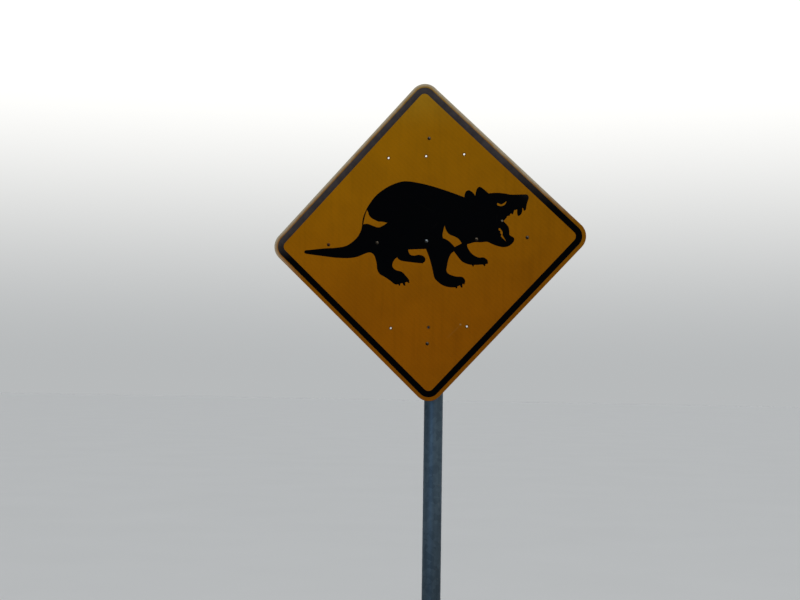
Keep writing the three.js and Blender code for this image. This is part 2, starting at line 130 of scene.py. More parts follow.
class Graph:
    """Adds nodes to one tree, and joins them."""

    def __init__(self, tree: bpy.types.NodeTree) -> None:
        """Takes the tree to add to."""
        self.tree = tree

    def feed(self, socket: Socket, value: object) -> None:
        """Gives an input another node's output, or a value.

        Args:
            socket: The input.
            value: An output to link, a colour, or a number or vector.
        """
        if isinstance(value, Socket):
            self.tree.links.new(value, socket)
        elif socket.type == "RGBA":
            socket.default_value = (*value, 1.0)
        else:
            socket.default_value = value

    def add(
        self, kind: str, inputs: dict[int | str, object] | None = None, **settings: object
    ) -> bpy.types.Node:
        """Adds a node.

        Args:
            kind: The node's type name.
            inputs: What each input takes, by name or number.
            **settings: The node's own properties.

        Returns:
            The new node.
        """
        node = self.tree.nodes.new(kind)
        for name, value in settings.items():
            setattr(node, name, value)
        for key, value in (inputs or {}).items():
            self.feed(node.inputs[key], value)
        return node

    def math(self, operation: str, *values: object) -> Socket:
        """One step of arithmetic."""
        return self.add("ShaderNodeMath", dict(enumerate(values)), operation=operation).outputs[0]

    def total(self, *values: object) -> Socket:
        """The sum of several numbers."""
        return reduce(partial(self.math, "ADD"), values)

    def product(self, *values: object) -> Socket:
        """Several numbers multiplied."""
        return reduce(partial(self.math, "MULTIPLY"), values)

    def largest(self, *values: object) -> Socket:
        """The largest of several numbers."""
        return reduce(partial(self.math, "MAXIMUM"), values)

    def vector(self, operation: str, *values: object) -> Socket:
        """One step of arithmetic on vectors, or on a colour."""
        return self.add("ShaderNodeVectorMath", dict(enumerate(values)), operation=operation).outputs[0]

    def dot(self, first: object, second: object) -> Socket:
        """The dot product of two vectors."""
        node = self.add("ShaderNodeVectorMath", {0: first, 1: second}, operation="DOT_PRODUCT")
        return node.outputs["Value"]

    def length(self, vector: object) -> Socket:
        """A vector's length."""
        return self.math("SQRT", self.dot(vector, vector))

    def combine(self, x: object, y: object = 0.0, z: object = 0.0) -> Socket:
        """A vector from its parts."""
        return self.add("ShaderNodeCombineXYZ", {0: x, 1: y, 2: z}).outputs[0]

    def scale(self, vector: object, factor: object) -> Socket:
        """A vector or colour times a number."""
        return self.add("ShaderNodeVectorMath", {0: vector, "Scale": factor}, operation="SCALE").outputs[0]

    def split(self, vector: object) -> tuple[Socket, ...]:
        """A vector's x, y and z."""
        return tuple(self.add("ShaderNodeSeparateXYZ", {0: vector}).outputs)

    def mix(self, share: object, first: object, second: object) -> Socket:
        """A colour between two others, by the node's colour sockets."""
        return self.add("ShaderNodeMix", {0: share, 6: first, 7: second}, data_type="RGBA").outputs[2]

    def mix_vectors(self, share: object, first: object, second: object) -> Socket:
        """A vector between two others, by the node's vector sockets."""
        return self.add("ShaderNodeMix", {0: share, 4: first, 5: second}, data_type="VECTOR").outputs[1]

    def smooth(self, value: object, fade: Fade) -> Socket:
        """What the fade gives for a value."""
        inputs = {"Value": value, **fade.inputs}
        return self.add("ShaderNodeMapRange", inputs, interpolation_type="SMOOTHSTEP").outputs[0]

    def noise(self, vector: object, noise: Noise) -> Socket:
        """The noise at a place."""
        return self.add("ShaderNodeTexNoise", {"Vector": vector, **noise.inputs}).outputs[0]


class Surface:
    """A material being made, with its shader, its graph and the place that its patterns read."""

    def __init__(self, name: str, constants: dict[str, float]) -> None:
        """Starts a material.

        Args:
            name: The material's name.
            constants: Values of the shader's own sockets that are the same all over.
        """
        self.material = bpy.data.materials.new(name)
        self.material.use_nodes = True
        self.graph = Graph(self.material.node_tree)
        self.shader = self.material.node_tree.nodes["Principled BSDF"]
        self.place = self.graph.add("ShaderNodeTexCoord").outputs["Object"]
        for socket, value in constants.items():
            self.shader.inputs[socket].default_value = value

    def attribute(self, name: str) -> Socket:
        """A number that the mesh holds at each point."""
        return self.graph.add("ShaderNodeAttribute", attribute_name=name).outputs["Fac"]

    def noise(self, noise: Noise) -> Socket:
        """The noise all over the surface."""
        return self.graph.noise(self.place, noise)

    def marks(self, grain: Grain, noise: Noise) -> Socket:
        """The noise drawn out the way that the grain runs."""
        stretched = self.graph.add("ShaderNodeMapping", {"Vector": self.place, "Scale": grain.value})
        return self.graph.noise(stretched.outputs[0], noise)

    def set(self, socket: str, value: Socket) -> None:
        """Gives one of the shader's sockets a pattern."""
        self.graph.feed(self.shader.inputs[socket], value)

    def finish(self, colour: Socket, roughness: Socket, height: Socket, depth: float) -> bpy.types.Material:
        """Gives the shader its patterns.

        Args:
            colour: The base colour.
            roughness: How dull the surface is.
            height: Where it is raised.
            depth: By how much it is raised, in metres.

        Returns:
            The material.
        """
        self.set("Base Color", colour)
        self.set("Roughness", roughness)
        inputs = {"Height": height, "Distance": depth, "Strength": 1.0}
        self.set("Normal", self.graph.add("ShaderNodeBump", inputs).outputs[0])
        return self.material


@dataclass(frozen=True)
class FacePlace:
    """A place on the sign's face as a material's nodes read it: x to the right and z up the plate."""

    graph: Graph
    x: Socket
    z: Socket

    def offset(self, x: float, z: float) -> Socket:
        """The way here from a fixed place on the face."""
        across, up = (self.graph.math("SUBTRACT", here, there) for here, there in ((self.x, x), (self.z, z)))
        return self.graph.combine(across, 0.0, up)

    def above(self, slope: float) -> Socket:
        """The height over a line through the plate's centre that rises to the right."""
        return self.graph.math("SUBTRACT", self.z, self.graph.product(self.x, slope))


@dataclass(frozen=True)
class SignPlane:
    """The axes of the sign's face: x to the right and z up the plate, from the plate's centre."""

    centre: Vector
    lean: float
    half_side: float
    corner: float = 50 * MM

    @classmethod
    def measured(cls) -> "SignPlane":
        """Reads the plate's centre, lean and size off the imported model.

        Returns:
            The sign's axes and half its side.
        """
        low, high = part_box("sign_plate")
        centre = Vector(((low.x + high.x) / 2, 0.0, (low.z + high.z) / 2))
        left, right = (sum(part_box(f"rivet_middle_{i}"), Vector()) / 2 for i in (1, 5))
        lean = math.atan2(left.z - right.z, right.x - left.x)
        plane = cls(centre, lean, 0.0)
        places = [plane.inverse @ v.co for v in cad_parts["sign_plate"].data.vertices]
        return cls(centre, lean, max(p.x + p.z for p in places) / math.sqrt(2))

    @property
    def matrix(self) -> Matrix:
        """Takes a place on the sign to the row frame."""
        return Matrix.Translation(self.centre) @ Matrix.Rotation(self.lean, 4, "Y")

    @property
    def inverse(self) -> Matrix:
        """Takes a place in the row frame to the sign's axes."""
        return self.matrix.inverted()

    @property
    def facing(self) -> Vector:
        """The turns that lay an upright part square to the plate."""
        return Vector((0.0, self.lean, 0.0))

    def box(self, node: str) -> tuple[Vector, Vector]:
        """A CAD node's lowest and highest corners in the sign's axes."""
        places = [self.inverse @ v.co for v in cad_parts[node].data.vertices]
        return tuple(Vector(pick(p[axis] for p in places) for axis in range(3)) for pick in (min, max))

    def middle_of(self, node: str) -> Vector:
        """The place in the row frame behind a CAD node's middle, at no depth."""
        low, high = self.box(node)
        return self.matrix @ Vector(((low.x + high.x) / 2, 0.0, (low.z + high.z) / 2))

    def place(self, surface: Surface) -> FacePlace:
        """The place on the sign that a material's patterns read.

        Args:
            surface: The material.

        Returns:
            The place.
        """
        inputs = {"Vector": surface.place, "Location": self.centre, "Rotation": self.facing}
        mapped = surface.graph.add("ShaderNodeMapping", inputs, vector_type="TEXTURE").outputs[0]
        x, _, z = surface.graph.split(mapped)
        return FacePlace(surface.graph, x, z)

    def edge_distance(self, place: FacePlace) -> Socket:
        """How far a place on the sign is from the plate's edge, also round its corners.

        Args:
            place: The place.

        Returns:
            The distance in metres.
        """
        graph = place.graph
        beyond = []
        for step in ("ADD", "SUBTRACT"):
            across = graph.math("ABSOLUTE", graph.math(step, place.x, place.z))
            across = graph.math("DIVIDE", across, math.sqrt(2))
            beyond.append(graph.math("SUBTRACT", across, self.half_side - self.corner))
        radial = graph.length(graph.combine(*(graph.largest(side, 0.0) for side in beyond)))
        straight = graph.math("MINIMUM", graph.largest(*beyond), 0.0)
        return graph.math("SUBTRACT", self.corner, graph.total(radial, straight))


@dataclass(frozen=True)
class Spot:
    """A small mark on the sign's face that noise makes uneven, with its edges as shares of its radius."""

    x: float
    z: float
    radius: float
    strength: float
    unevenness: float = 0.8
    outer_edge: float = 1.5
    inner_edge: float = 1.2

    def mask(self, place: FacePlace) -> Socket:
        """How strong the mark is at a place.

        Args:
            place: The place on the sign.

        Returns:
            The mark's strength on it, and 0 off it.
        """
        graph = place.graph
        offset = place.offset(self.x, self.z)
        noise = graph.noise(offset, Noise(self.unevenness / self.radius))
        uneven = graph.product(noise, self.unevenness * self.radius)
        edge = Fade(self.outer_edge * self.radius, self.inner_edge * self.radius, high=self.strength)
        return graph.smooth(graph.total(graph.length(offset), uneven), edge)


@dataclass(frozen=True)
class Scratch:
    """A thin straight mark on the sign's face, from one end along a turn in degrees from +x.

    Core is the share of its width at full strength, and whole the share of its length before it thins out.
    """

    x: float
    z: float
    turn: float
    length: float
    strength: float
    width: float = 0.4 * MM
    core: float = 1 / 3
    whole: float = 0.6

    def mask(self, place: FacePlace) -> Socket:
        """How strong the mark is at a place.

        Args:
            place: The place on the sign.

        Returns:
            The mark's strength on it, and 0 off it.
        """
        graph = place.graph
        offset = place.offset(self.x, self.z)
        cosine, sine = math.cos(math.radians(self.turn)), math.sin(math.radians(self.turn))
        along = graph.dot(offset, (cosine, 0.0, sine))
        aside = graph.math("ABSOLUTE", graph.dot(offset, (-sine, 0.0, cosine)))
        line = graph.smooth(aside, Fade(self.width, self.width * self.core, high=self.strength))
        begun = graph.smooth(along, Fade(0.0, self.width))
        ended = graph.smooth(along, Fade(self.length, self.length * self.whole))
        return graph.product(line, begun, ended)


@dataclass(frozen=True)
class Honeycomb:
    """Six-sided cells, with their size between flats, half the walls' width and its share at full height."""

    size: float
    wall: float
    crest: float = 0.4

    def walls(self, place: FacePlace) -> Socket:
        """The walls of the cells.

        Args:
            place: The place on the sign.

        Returns:
            1 on a wall and 0 inside a cell.
        """
        graph = place.graph
        half = (0.5, math.sqrt(3) / 2, 0.5)
        minus_half = tuple(-part for part in half)
        scaled = graph.combine(*(graph.math("DIVIDE", part, self.size) for part in (place.x, place.z)))
        first = graph.vector("WRAP", scaled, half, minus_half)
        second = graph.vector("WRAP", graph.vector("SUBTRACT", scaled, half), half, minus_half)
        first_nearer = graph.math("LESS_THAN", graph.dot(first, first), graph.dot(second, second))
        nearest = graph.mix_vectors(first_nearer, second, first)
        across, up, _ = graph.split(graph.vector("ABSOLUTE", nearest))
        flat_turn = math.radians(60)
        slanted = graph.dot(graph.combine(across, up), (math.cos(flat_turn), math.sin(flat_turn), 0.0))
        wall = self.wall / self.size
        return graph.smooth(graph.largest(across, slanted), Fade(0.5 - wall, 0.5 - self.crest * wall))


@dataclass(frozen=True)
class Sheeting:
    """Yellow retroreflective sheeting: cells under a clear skin, faded along its upper edges."""

    # painted light: the yellow runs from shaded and deep low down to lit and pale at the top corner
    low_colour: Colour = (0.550, 0.150, 0.0002)
    high_colour: Colour = (0.630, 0.243, 0.0005)
    top_colour: Colour = (0.700, 0.340, 0.0140)
    wall_colour: Colour = (0.70, 0.30, 0.0120)
    faded_colour: Colour = (0.94, 0.75, 0.48)
    worn_colour: Colour = (0.68, 0.42, 0.16)
    dirt_colour: Colour = (0.13, 0.06, 0.012)
    stain_colour: Colour = (0.30, 0.06, 0.012)
    rise: Fade = Fade(-0.36, 0.42)
    top: Fade = Fade(0.34, 0.50)
    cells: Honeycomb = Honeycomb(3.5 * MM, 0.3 * MM)
    wall_share: float = 0.3
    stripe: float = 12 * MM
    stripe_shade: float = 0.02
    blotches: Noise = Noise(9.0, 5.0)
    blotch_shade: Fade = Fade(0.3, 0.7, -0.06, 0.06)
    runs: Noise = Noise(1.0, 4.0)
    run_shade: Fade = Fade(0.45, 0.75, 0.0, -0.07)
    painted_side_shade: Fade = Fade(-0.5, 0.5, 0.05, -0.10)
    rim_shade: Fade = Fade(28 * MM, 12 * MM, 0.0, -0.15)
    frayed: Noise = Noise(45.0)
    frayed_width: float = 6 * MM
    faded_edge: Fade = Fade(16 * MM, 4 * MM)
    faded_slope: float = 0.18
    faded_above: Fade = Fade(-0.05, 0.13)
    hole_spacing: float = 124 * MM
    hole_shift: float = 3 * MM
    hole_height: float = 275 * MM
    holes_in_row: int = 3
    hole_dirt: Fade = Fade(8 * MM, 3.5 * MM, high=0.8)
    stain: Spot = Spot(432 * MM, 106 * MM, 4 * MM, 0.8)
    wear: tuple[Spot | Scratch, ...] = (
        Spot(106.7 * MM, -268.6 * MM, 3.2 * MM, 0.6),
        Scratch(102 * MM, -274 * MM, 223, 62 * MM, 0.07, 3.2 * MM),
        Scratch(-182 * MM, -96 * MM, 205, 38 * MM, 0.15),
        Scratch(296 * MM, -62 * MM, 250, 44 * MM, 0.15),
        Scratch(-66 * MM, 322 * MM, 200, 30 * MM, 0.15),
    )
    dullness: Noise = Noise(14.0, 4.0)
    roughness: Fade = Fade(0.3, 0.7, 0.32, 0.46)
    waves: Noise = Noise(5.0, 1.0)
    wave_share: float = 6.0
    cell_share: float = 0.35
    relief: float = 0.08 * MM
    specular: float = 0.03

    def field_colour(self, place: FacePlace, walls: Socket) -> Socket:
        """The yellow, with painted light: deepest low down and palest at the top corner.

        Args:
            place: The place on the sign.
            walls: The walls of the cells.

        Returns:
            The colour.
        """
        graph = place.graph
        colour = graph.mix(graph.smooth(place.z, self.rise), self.low_colour, self.high_colour)
        colour = graph.mix(graph.smooth(place.z, self.top), colour, self.top_colour)
        return graph.mix(graph.product(walls, self.wall_share), colour, self.wall_colour)

    def brightness(self, surface: Surface, place: FacePlace, edge: Socket) -> Socket:
        """How bright each place is: stripes, blotches, runs, painted shade on the right side, and darker at
        the rim.

        Args:
            surface: The material.
            place: The place on the sign.
            edge: Its distance from the plate's edge.

        Returns:
            The brightness, around 1.
        """
        graph = surface.graph
        diagonal = graph.product(graph.total(place.x, place.z), math.tau / (self.stripe * math.sqrt(2)))
        stripes = graph.product(graph.math("SINE", diagonal), self.stripe_shade)
        blotches = graph.smooth(surface.noise(self.blotches), self.blotch_shade)
        runs = graph.smooth(surface.marks(Grain.RAIN, self.runs), self.run_shade)
        # painted shade: the right side of the face darker than the left
        painted_sideways_shade = graph.smooth(place.x, self.painted_side_shade)
        return graph.total(stripes, blotches, runs, painted_sideways_shade, graph.smooth(edge, self.rim_shade), 1.0)

    def faded(self, surface: Surface, place: FacePlace, edge: Socket) -> Socket:
        """Where the colour has gone: along the upper edges, with a frayed border.

        Args:
            surface: The material.
            place: The place on the sign.
            edge: Its distance from the plate's edge.

        Returns:
            The mask.
        """
        graph = surface.graph
        frayed = graph.product(surface.noise(self.frayed), self.frayed_width)
        at_edge = graph.smooth(graph.total(edge, frayed), self.faded_edge)
        return graph.product(at_edge, graph.smooth(place.above(self.faded_slope), self.faded_above))

    def dirt(self, place: FacePlace) -> Socket:
        """Dirt round the unused fixing holes.

        Args:
            place: The place on the sign.

        Returns:
            The mask.
        """
        graph = place.graph
        half = self.hole_spacing / 2
        along = graph.math("WRAP", graph.math("SUBTRACT", place.x, self.hole_shift), half, -half)
        up = graph.math("SUBTRACT", graph.math("ABSOLUTE", place.z), self.hole_height)
        in_row = graph.math("LESS_THAN", graph.math("ABSOLUTE", place.x), self.holes_in_row * half)
        distance = graph.length(graph.combine(along, 0.0, up))
        return graph.product(graph.smooth(distance, self.hole_dirt), in_row)

    def material(self, plane: SignPlane) -> bpy.types.Material:
        """Builds the finish for the sign's face.

        Args:
            plane: The sign's axes.

        Returns:
            The material.
        """
        surface = Surface("yellow sheeting", {"Specular IOR Level": self.specular})
        graph, place = surface.graph, plane.place(surface)
        edge, walls = plane.edge_distance(place), self.cells.walls(place)
        colour = graph.scale(self.field_colour(place, walls), self.brightness(surface, place, edge))
        colour = graph.mix(self.faded(surface, place, edge), colour, self.faded_colour)
        colour = graph.mix(self.dirt(place), colour, self.dirt_colour)
        colour = graph.mix(self.stain.mask(place), colour, self.stain_colour)
        worn = graph.largest(*(mark.mask(place) for mark in self.wear))
        colour = graph.mix(worn, colour, self.worn_colour)
        roughness = graph.smooth(surface.noise(self.dullness), self.roughness)
        waves = graph.product(surface.noise(self.waves), self.wave_share)
        height = graph.total(graph.product(walls, self.cell_share), waves)
        return surface.finish(colour, roughness, height, self.relief)


@dataclass(frozen=True)
class BlackFilm:
    """Semi-gloss black film, with a painted grey reflection of the sky near the plate's upper left edges."""

    black_colour: Colour = (0.0012, 0.0012, 0.0014)
    sky_sheen_colour: Colour = (0.122, 0.098, 0.092)
    bare_colour: Colour = (0.30, 0.23, 0.14)
    sky_sheen_slope: float = 0.40
    sky_sheen_above: Fade = Fade(-0.10, 0.20)
    sky_sheen_upper: Fade = Fade(-0.05, 0.03)
    sky_sheen_rim: Fade = Fade(76 * MM, 8 * MM)
    mottles: Noise = Noise(60.0, 4.0)
    mottle_share: Fade = Fade(0.3, 0.7, 0.75, 1.0)
    wear: tuple[Spot | Scratch, ...] = (
        Spot(246 * MM, 57 * MM, 3.6 * MM, 1.0),
        Scratch(-20 * MM, 120 * MM, -28, 60 * MM, 0.05),
        Scratch(40 * MM, 60 * MM, -140, 36 * MM, 0.05),
        Scratch(230 * MM, 78 * MM, -95, 24 * MM, 0.05),
    )
    dullness: Noise = Noise(20.0, 4.0)
    roughness: Fade = Fade(0.3, 0.7, 0.36, 0.5)
    grain: Noise = Noise(160.0, 2.0)
    relief: float = 0.04 * MM
    specular: float = 0.03

    def material(self, plane: SignPlane) -> bpy.types.Material:
        """Builds the finish for the border and the figure.

        Args:
            plane: The sign's axes.

        Returns:
            The material.
        """
        surface = Surface("black film", {"Specular IOR Level": self.specular})
        graph, place = surface.graph, plane.place(surface)
        # painted reflection: the film turns grey near its upper left edges as if it mirrored the bright sky
        above = graph.smooth(place.above(self.sky_sheen_slope), self.sky_sheen_above)
        rim = graph.smooth(plane.edge_distance(place), self.sky_sheen_rim)
        mottle = graph.smooth(surface.noise(self.mottles), self.mottle_share)
        sky_sheen = graph.product(above, graph.smooth(place.z, self.sky_sheen_upper), rim, mottle)
        colour = graph.mix(sky_sheen, self.black_colour, self.sky_sheen_colour)
        bare = graph.largest(*(mark.mask(place) for mark in self.wear))
        colour = graph.mix(bare, colour, self.bare_colour)
        roughness = graph.smooth(surface.noise(self.dullness), self.roughness)
        return surface.finish(colour, roughness, surface.noise(self.grain), self.relief)


@dataclass(frozen=True)
class Galvanised:
    """Hot-dip galvanised steel in a dull grey whose blue tint is painted cool sky light, with faint spangles
    and runs.
    """

    # painted light: the blue in these greys stands in for cool light from the sky
    dark_colour: Colour = (0.108, 0.166, 0.216)
    light_colour: Colour = (0.204, 0.298, 0.374)
    bloom_colour: Colour = (0.36, 0.41, 0.45)
    spangle: float = 14 * MM
    spangle_share: float = 0.3
    runs: Noise = Noise(1.0, 4.0)
    run_share: float = 0.7
    patches: Noise = Noise(7.0, 5.0, 0.6)
    tone: Fade = Fade(0.6, 1.4)
    bloom: Noise = Noise(38.0, 6.0, 0.65)
    bloom_share: Fade = Fade(0.60, 0.74, 0.0, 0.55)
    painted_foot_shade: Fade = Fade(0.7, 1.4, 0.66, 1.0)
    roughness: Fade = Fade(0.6, 1.4, 0.42, 0.32)
    bloom_roughness: Fade = Fade(0.0, 0.5, 0.4, 0.7)
    fine_grain: Noise = Noise(300.0, 3.0)
    broad_grain: Noise = Noise(25.0, 2.0)
    relief: float = 0.15 * MM
    metallic: float = 0.75

    def material(self) -> bpy.types.Material:
        """Builds the finish for the post and its steelwork.

        Returns:
            The material.
        """
        surface = Surface("galvanised steel", {"Metallic": self.metallic})
        graph = surface.graph
        crystals = graph.add("ShaderNodeTexVoronoi", {"Vector": surface.place, "Scale": 1 / self.spangle})
        crystal = graph.product(graph.split(crystals.outputs["Color"])[0], self.spangle_share)
        runs = graph.product(surface.marks(Grain.DRAWN, self.runs), self.run_share)
        tone = graph.total(crystal, runs, surface.noise(self.patches))
        colour = graph.mix(graph.smooth(tone, self.tone), self.dark_colour, self.light_colour)
        bloom = graph.smooth(surface.noise(self.bloom), self.bloom_share)
        colour = graph.mix(bloom, colour, self.bloom_colour)
        # painted shade: the steel darker towards the ground
        foot = graph.smooth(graph.split(surface.place)[2], self.painted_foot_shade)
        colour = graph.scale(colour, foot)
        duller = graph.smooth(bloom, self.bloom_roughness)
        roughness = graph.largest(graph.smooth(tone, self.roughness), duller)
        grain = graph.total(surface.noise(self.fine_grain), surface.noise(self.broad_grain))
        return surface.finish(colour, roughness, grain, self.relief)


@dataclass(frozen=True)
class BareAluminium:
    """Mill-finish aluminium with the marks of rolling, stained by the weather."""

    name: str
    dark_colour: Colour = (0.27, 0.28, 0.29)
    light_colour: Colour = (0.45, 0.46, 0.47)
    stain_colour: Colour = (0.20, 0.19, 0.17)
    lines: Noise = Noise(3.0, 5.0, 0.7)
    tone: Fade = Fade(0.3, 0.7)
    stains: Noise = Noise(11.0, 6.0, 0.6)
    stain_share: Fade = Fade(0.55, 0.75, 0.0, 0.6)
    roughness: Fade = Fade(0.3, 1.2, 0.38, 0.62)
    relief: float = 0.06 * MM
    metallic: float = 0.85

    def material(self) -> bpy.types.Material:
        """Builds the finish for the plate or the rails.

        Returns:
            The material.
        """
        surface = Surface(self.name, {"Metallic": self.metallic})
        graph = surface.graph
        lines = surface.marks(Grain.ROLLED, self.lines)
        stains = graph.smooth(surface.noise(self.stains), self.stain_share)
        colour = graph.mix(graph.smooth(lines, self.tone), self.dark_colour, self.light_colour)
        colour = graph.mix(stains, colour, self.stain_colour)
        roughness = graph.smooth(graph.total(lines, stains), self.roughness)
        return surface.finish(colour, roughness, lines, self.relief)


@dataclass(frozen=True)
class ZincPlated:
    """Zinc-plated fasteners, dulled, with specks of rust."""

    dark_colour: Colour = (0.26, 0.26, 0.25)
    light_colour: Colour = (0.46, 0.46, 0.44)
    rust_colour: Colour = (0.19, 0.075, 0.025)
    mottles: Noise = Noise(120.0, 5.0, 0.6)
    tone: Fade = Fade(0.3, 0.7)
    specks: Noise = Noise(210.0, 6.0, 0.65)
    rust_share: Fade = Fade(0.60, 0.70, 0.0, 0.7)
    roughness: Fade = Fade(0.3, 1.2, 0.32, 0.75)
    grain: Noise = Noise(900.0, 2.0)
    relief: float = 0.03 * MM
    metallic: float = 0.8

    def material(self) -> bpy.types.Material:
        """Builds the finish for bolts, nuts, washers and screws.

        Returns:
            The material.
        """
        surface = Surface("zinc-plated steel", {"Metallic": self.metallic})
        graph = surface.graph
        mottles = surface.noise(self.mottles)
        rust = graph.smooth(surface.noise(self.specks), self.rust_share)
        colour = graph.mix(graph.smooth(mottles, self.tone), self.dark_colour, self.light_colour)
        colour = graph.mix(rust, colour, self.rust_colour)
        roughness = graph.smooth(graph.total(mottles, rust), self.roughness)
        return surface.finish(colour, roughness, surface.noise(self.grain), self.relief)


@dataclass(frozen=True)
class RivetFinish:
    """Dull aluminium rivets, with painted shade at the rim, in the dimple and low on the left, and one
    stained by rust.
    """

    # painted reflection: the warm brown of these colours stands in for sunlit surroundings mirrored in the
    # heads
    dark_colour: Colour = (0.095, 0.070, 0.046)
    light_colour: Colour = (0.25, 0.19, 0.125)
    glint_colour: Colour = (0.40, 0.42, 0.41)
    rivet_shade_colour: Colour = (0.024, 0.016, 0.009)
    rust_colour: Colour = (0.17, 0.045, 0.008)
    mottles: Noise = Noise(260.0, 5.0, 0.6)
    tone: Fade = Fade(0.3, 0.7)
    rust_share: Fade = Fade(0.25, 0.6)
    shaded_side: Triple = (-0.6, 0.0, -0.8)
    shaded_side_fade: Fade = Fade(-0.10, 0.14, 0.0, 0.9)
    roughness: Fade = Fade(0.3, 1.3, 0.34, 0.8)
    grain: Noise = Noise(700.0, 3.0)
    relief: float = 0.05 * MM
    metallic: float = 0.85

    def material(self) -> bpy.types.Material:
        """Builds the finish for the rivets.

        Returns:
            The material.
        """
        surface = Surface("rivet aluminium", {"Metallic": self.metallic})
        graph = surface.graph
        mottles = surface.noise(self.mottles)
        bright, rust, grime = (surface.attribute(name) for name in ("bright", "rust", "grime"))
        colour = graph.mix(graph.smooth(mottles, self.tone), self.dark_colour, self.light_colour)
        # painted highlight: one rivet is made brighter all over as if it caught the light
        colour = graph.mix(bright, colour, self.glint_colour)
        rust = graph.product(rust, graph.smooth(mottles, self.rust_share))
        colour = graph.mix(rust, colour, self.rust_colour)
        # painted shade: the lower left of each head darker, as if turned from the light
        normal = graph.add("ShaderNodeTexCoord").outputs["Normal"]
        below = graph.smooth(graph.dot(normal, self.shaded_side), self.shaded_side_fade)
        grime = graph.largest(grime, below)
        colour = graph.mix(grime, colour, self.rivet_shade_colour)
        roughness = graph.smooth(graph.total(mottles, grime), self.roughness)
        return surface.finish(colour, roughness, surface.noise(self.grain), self.relief)


@dataclass(frozen=True)
class PaleFloor:
    """The studio's plain pale floor."""

    light_colour: Colour = (0.78, 0.78, 0.77)
    dark_colour: Colour = (0.74, 0.74, 0.73)
    bounce_colour: Colour = (0.36, 0.36, 0.36)
    mottles: Noise = Noise(0.8, 5.0)
    roughness: float = 0.9
    specular: float = 0.1

    def material(self) -> bpy.types.Material:
        """Builds the floor's finish, which throws back less light than it shows.

        Returns:
            The material.
        """
        surface = Surface("pale floor", {"Roughness": self.roughness, "Specular IOR Level": self.specular})
        graph = surface.graph
        shown = graph.mix(surface.noise(self.mottles), self.dark_colour, self.light_colour)
        seen = graph.add("ShaderNodeLightPath").outputs["Is Camera Ray"]
        surface.set("Base Color", graph.mix(seen, self.bounce_colour, shown))
        return surface.material


class Recipe:
    """A Geometry Nodes tree with named inputs, which makes one plain mesh at a time."""

    def __init__(self, name: str) -> None:
        """Starts an empty tree.

        Args:
            name: The tree's name.
        """
        self.tree = bpy.data.node_groups.new(name, "GeometryNodeTree")
        self.tree.is_modifier = True
        self.graph = Graph(self.tree)
        self.identifiers: dict[str, str] = {}
        self.tree.interface.new_socket("Geometry", in_out="INPUT", socket_type="NodeSocketGeometry")
        self.tree.interface.new_socket("Geometry", in_out="OUTPUT", socket_type="NodeSocketGeometry")
        self.group_input = self.graph.add("NodeGroupInput")

    @property
    def geometry(self) -> Socket:
        """The geometry that the modifier is given."""
        return self.group_input.outputs["Geometry"]

    def take(self, name: str, kind: str) -> Socket:
        """Adds a named input.

        Args:
            name: The input's name.
            kind: Its kind, such as Float or Object.

        Returns:
            The input, as the tree's nodes read it.
        """
        item = self.tree.interface.new_socket(name, in_out="INPUT", socket_type=f"NodeSocket{kind}")
        self.identifiers[name] = item.identifier
        return self.group_input.outputs[name]

    def geometry_of(self, name: str) -> Socket:
        """The geometry of an object that is given as a named input."""
        inputs = {"Object": self.take(name, "Object")}
        return self.graph.add("GeometryNodeObjectInfo", inputs).outputs["Geometry"]

    def end(self, geometry: Socket) -> None:
        """Ends the tree by realizing instances and giving the result its material.

        Args:
            geometry: What the tree has made.
        """
        realized = self.graph.add("GeometryNodeRealizeInstances", {"Geometry": geometry}).outputs[0]
        inputs = {"Geometry": realized, "Material": self.take("Material", "Material")}
        painted = self.graph.add("GeometryNodeSetMaterial", inputs).outputs[0]
        self.graph.add("NodeGroupOutput", {"Geometry": painted})

    def make(self, name: str, source: bpy.types.Mesh, values: dict[str, object]) -> bpy.types.Mesh:
        """Runs the tree once.

        Args:
            name: The new mesh's name.
            source: The mesh that the tree starts from.
            values: What each named input takes.

        Returns:
            The result as a plain mesh.
        """
        carrier = new_object(f"{name}_source", source)
        modifier = carrier.modifiers.new(self.tree.name, "NODES")
        modifier.node_group = self.tree
        for key, value in values.items():
            modifier[self.identifiers[key]] = value
        mesh = plain_mesh(carrier, name)
        bpy.data.objects.remove(carrier)
        return mesh


def nodes_of(prefix: str) -> list[str]:
    """The CAD nodes whose names start alike, in order."""
    return sorted(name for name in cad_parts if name.startswith(prefix))


def new_object(name: str, data: bpy.types.ID) -> bpy.types.Object:
    """An object in the scene that holds the data.

    Args:
        name: The object's name.
        data: Its mesh, curve, lamp or camera.

    Returns:
        The object.
    """
    made = bpy.data.objects.new(name, data)
    bpy.context.scene.collection.objects.link(made)
    return made


def plain_mesh(source: bpy.types.Object, name: str) -> bpy.types.Mesh:
    """The object's mesh with its modifiers worked out.

    Args:
        source: The object.
        name: The new mesh's name.

    Returns:
        The plain mesh.
    """
    depsgraph = bpy.context.evaluated_depsgraph_get()
    mesh = bpy.data.meshes.new_from_object(source.evaluated_get(depsgraph), depsgraph=depsgraph)
    mesh.name = name
    return mesh


def sweep_recipe() -> Recipe:
    """A tree that sweeps a section along a path, both given as curve objects, and then drills it.

    Returns:
        The tree.
    """
    recipe = Recipe("swept bar")
    graph = recipe.graph
    path, section = (recipe.geometry_of(name) for name in ("Path", "Section"))
    upright = graph.add("GeometryNodeSetCurveNormal", {"Curve": path}, mode="Z_UP").outputs[0]
    inputs = {"Curve": upright, "Profile Curve": section, "Fill Caps": True}
    bar = graph.add("GeometryNodeCurveToMesh", inputs).outputs[0]
    inputs = {"Mesh 1": bar, "Mesh 2": recipe.geometry}
    drilled = graph.add("GeometryNodeMeshBoolean", inputs, operation="DIFFERENCE")
    recipe.end(drilled.outputs["Mesh"])
    return recipe


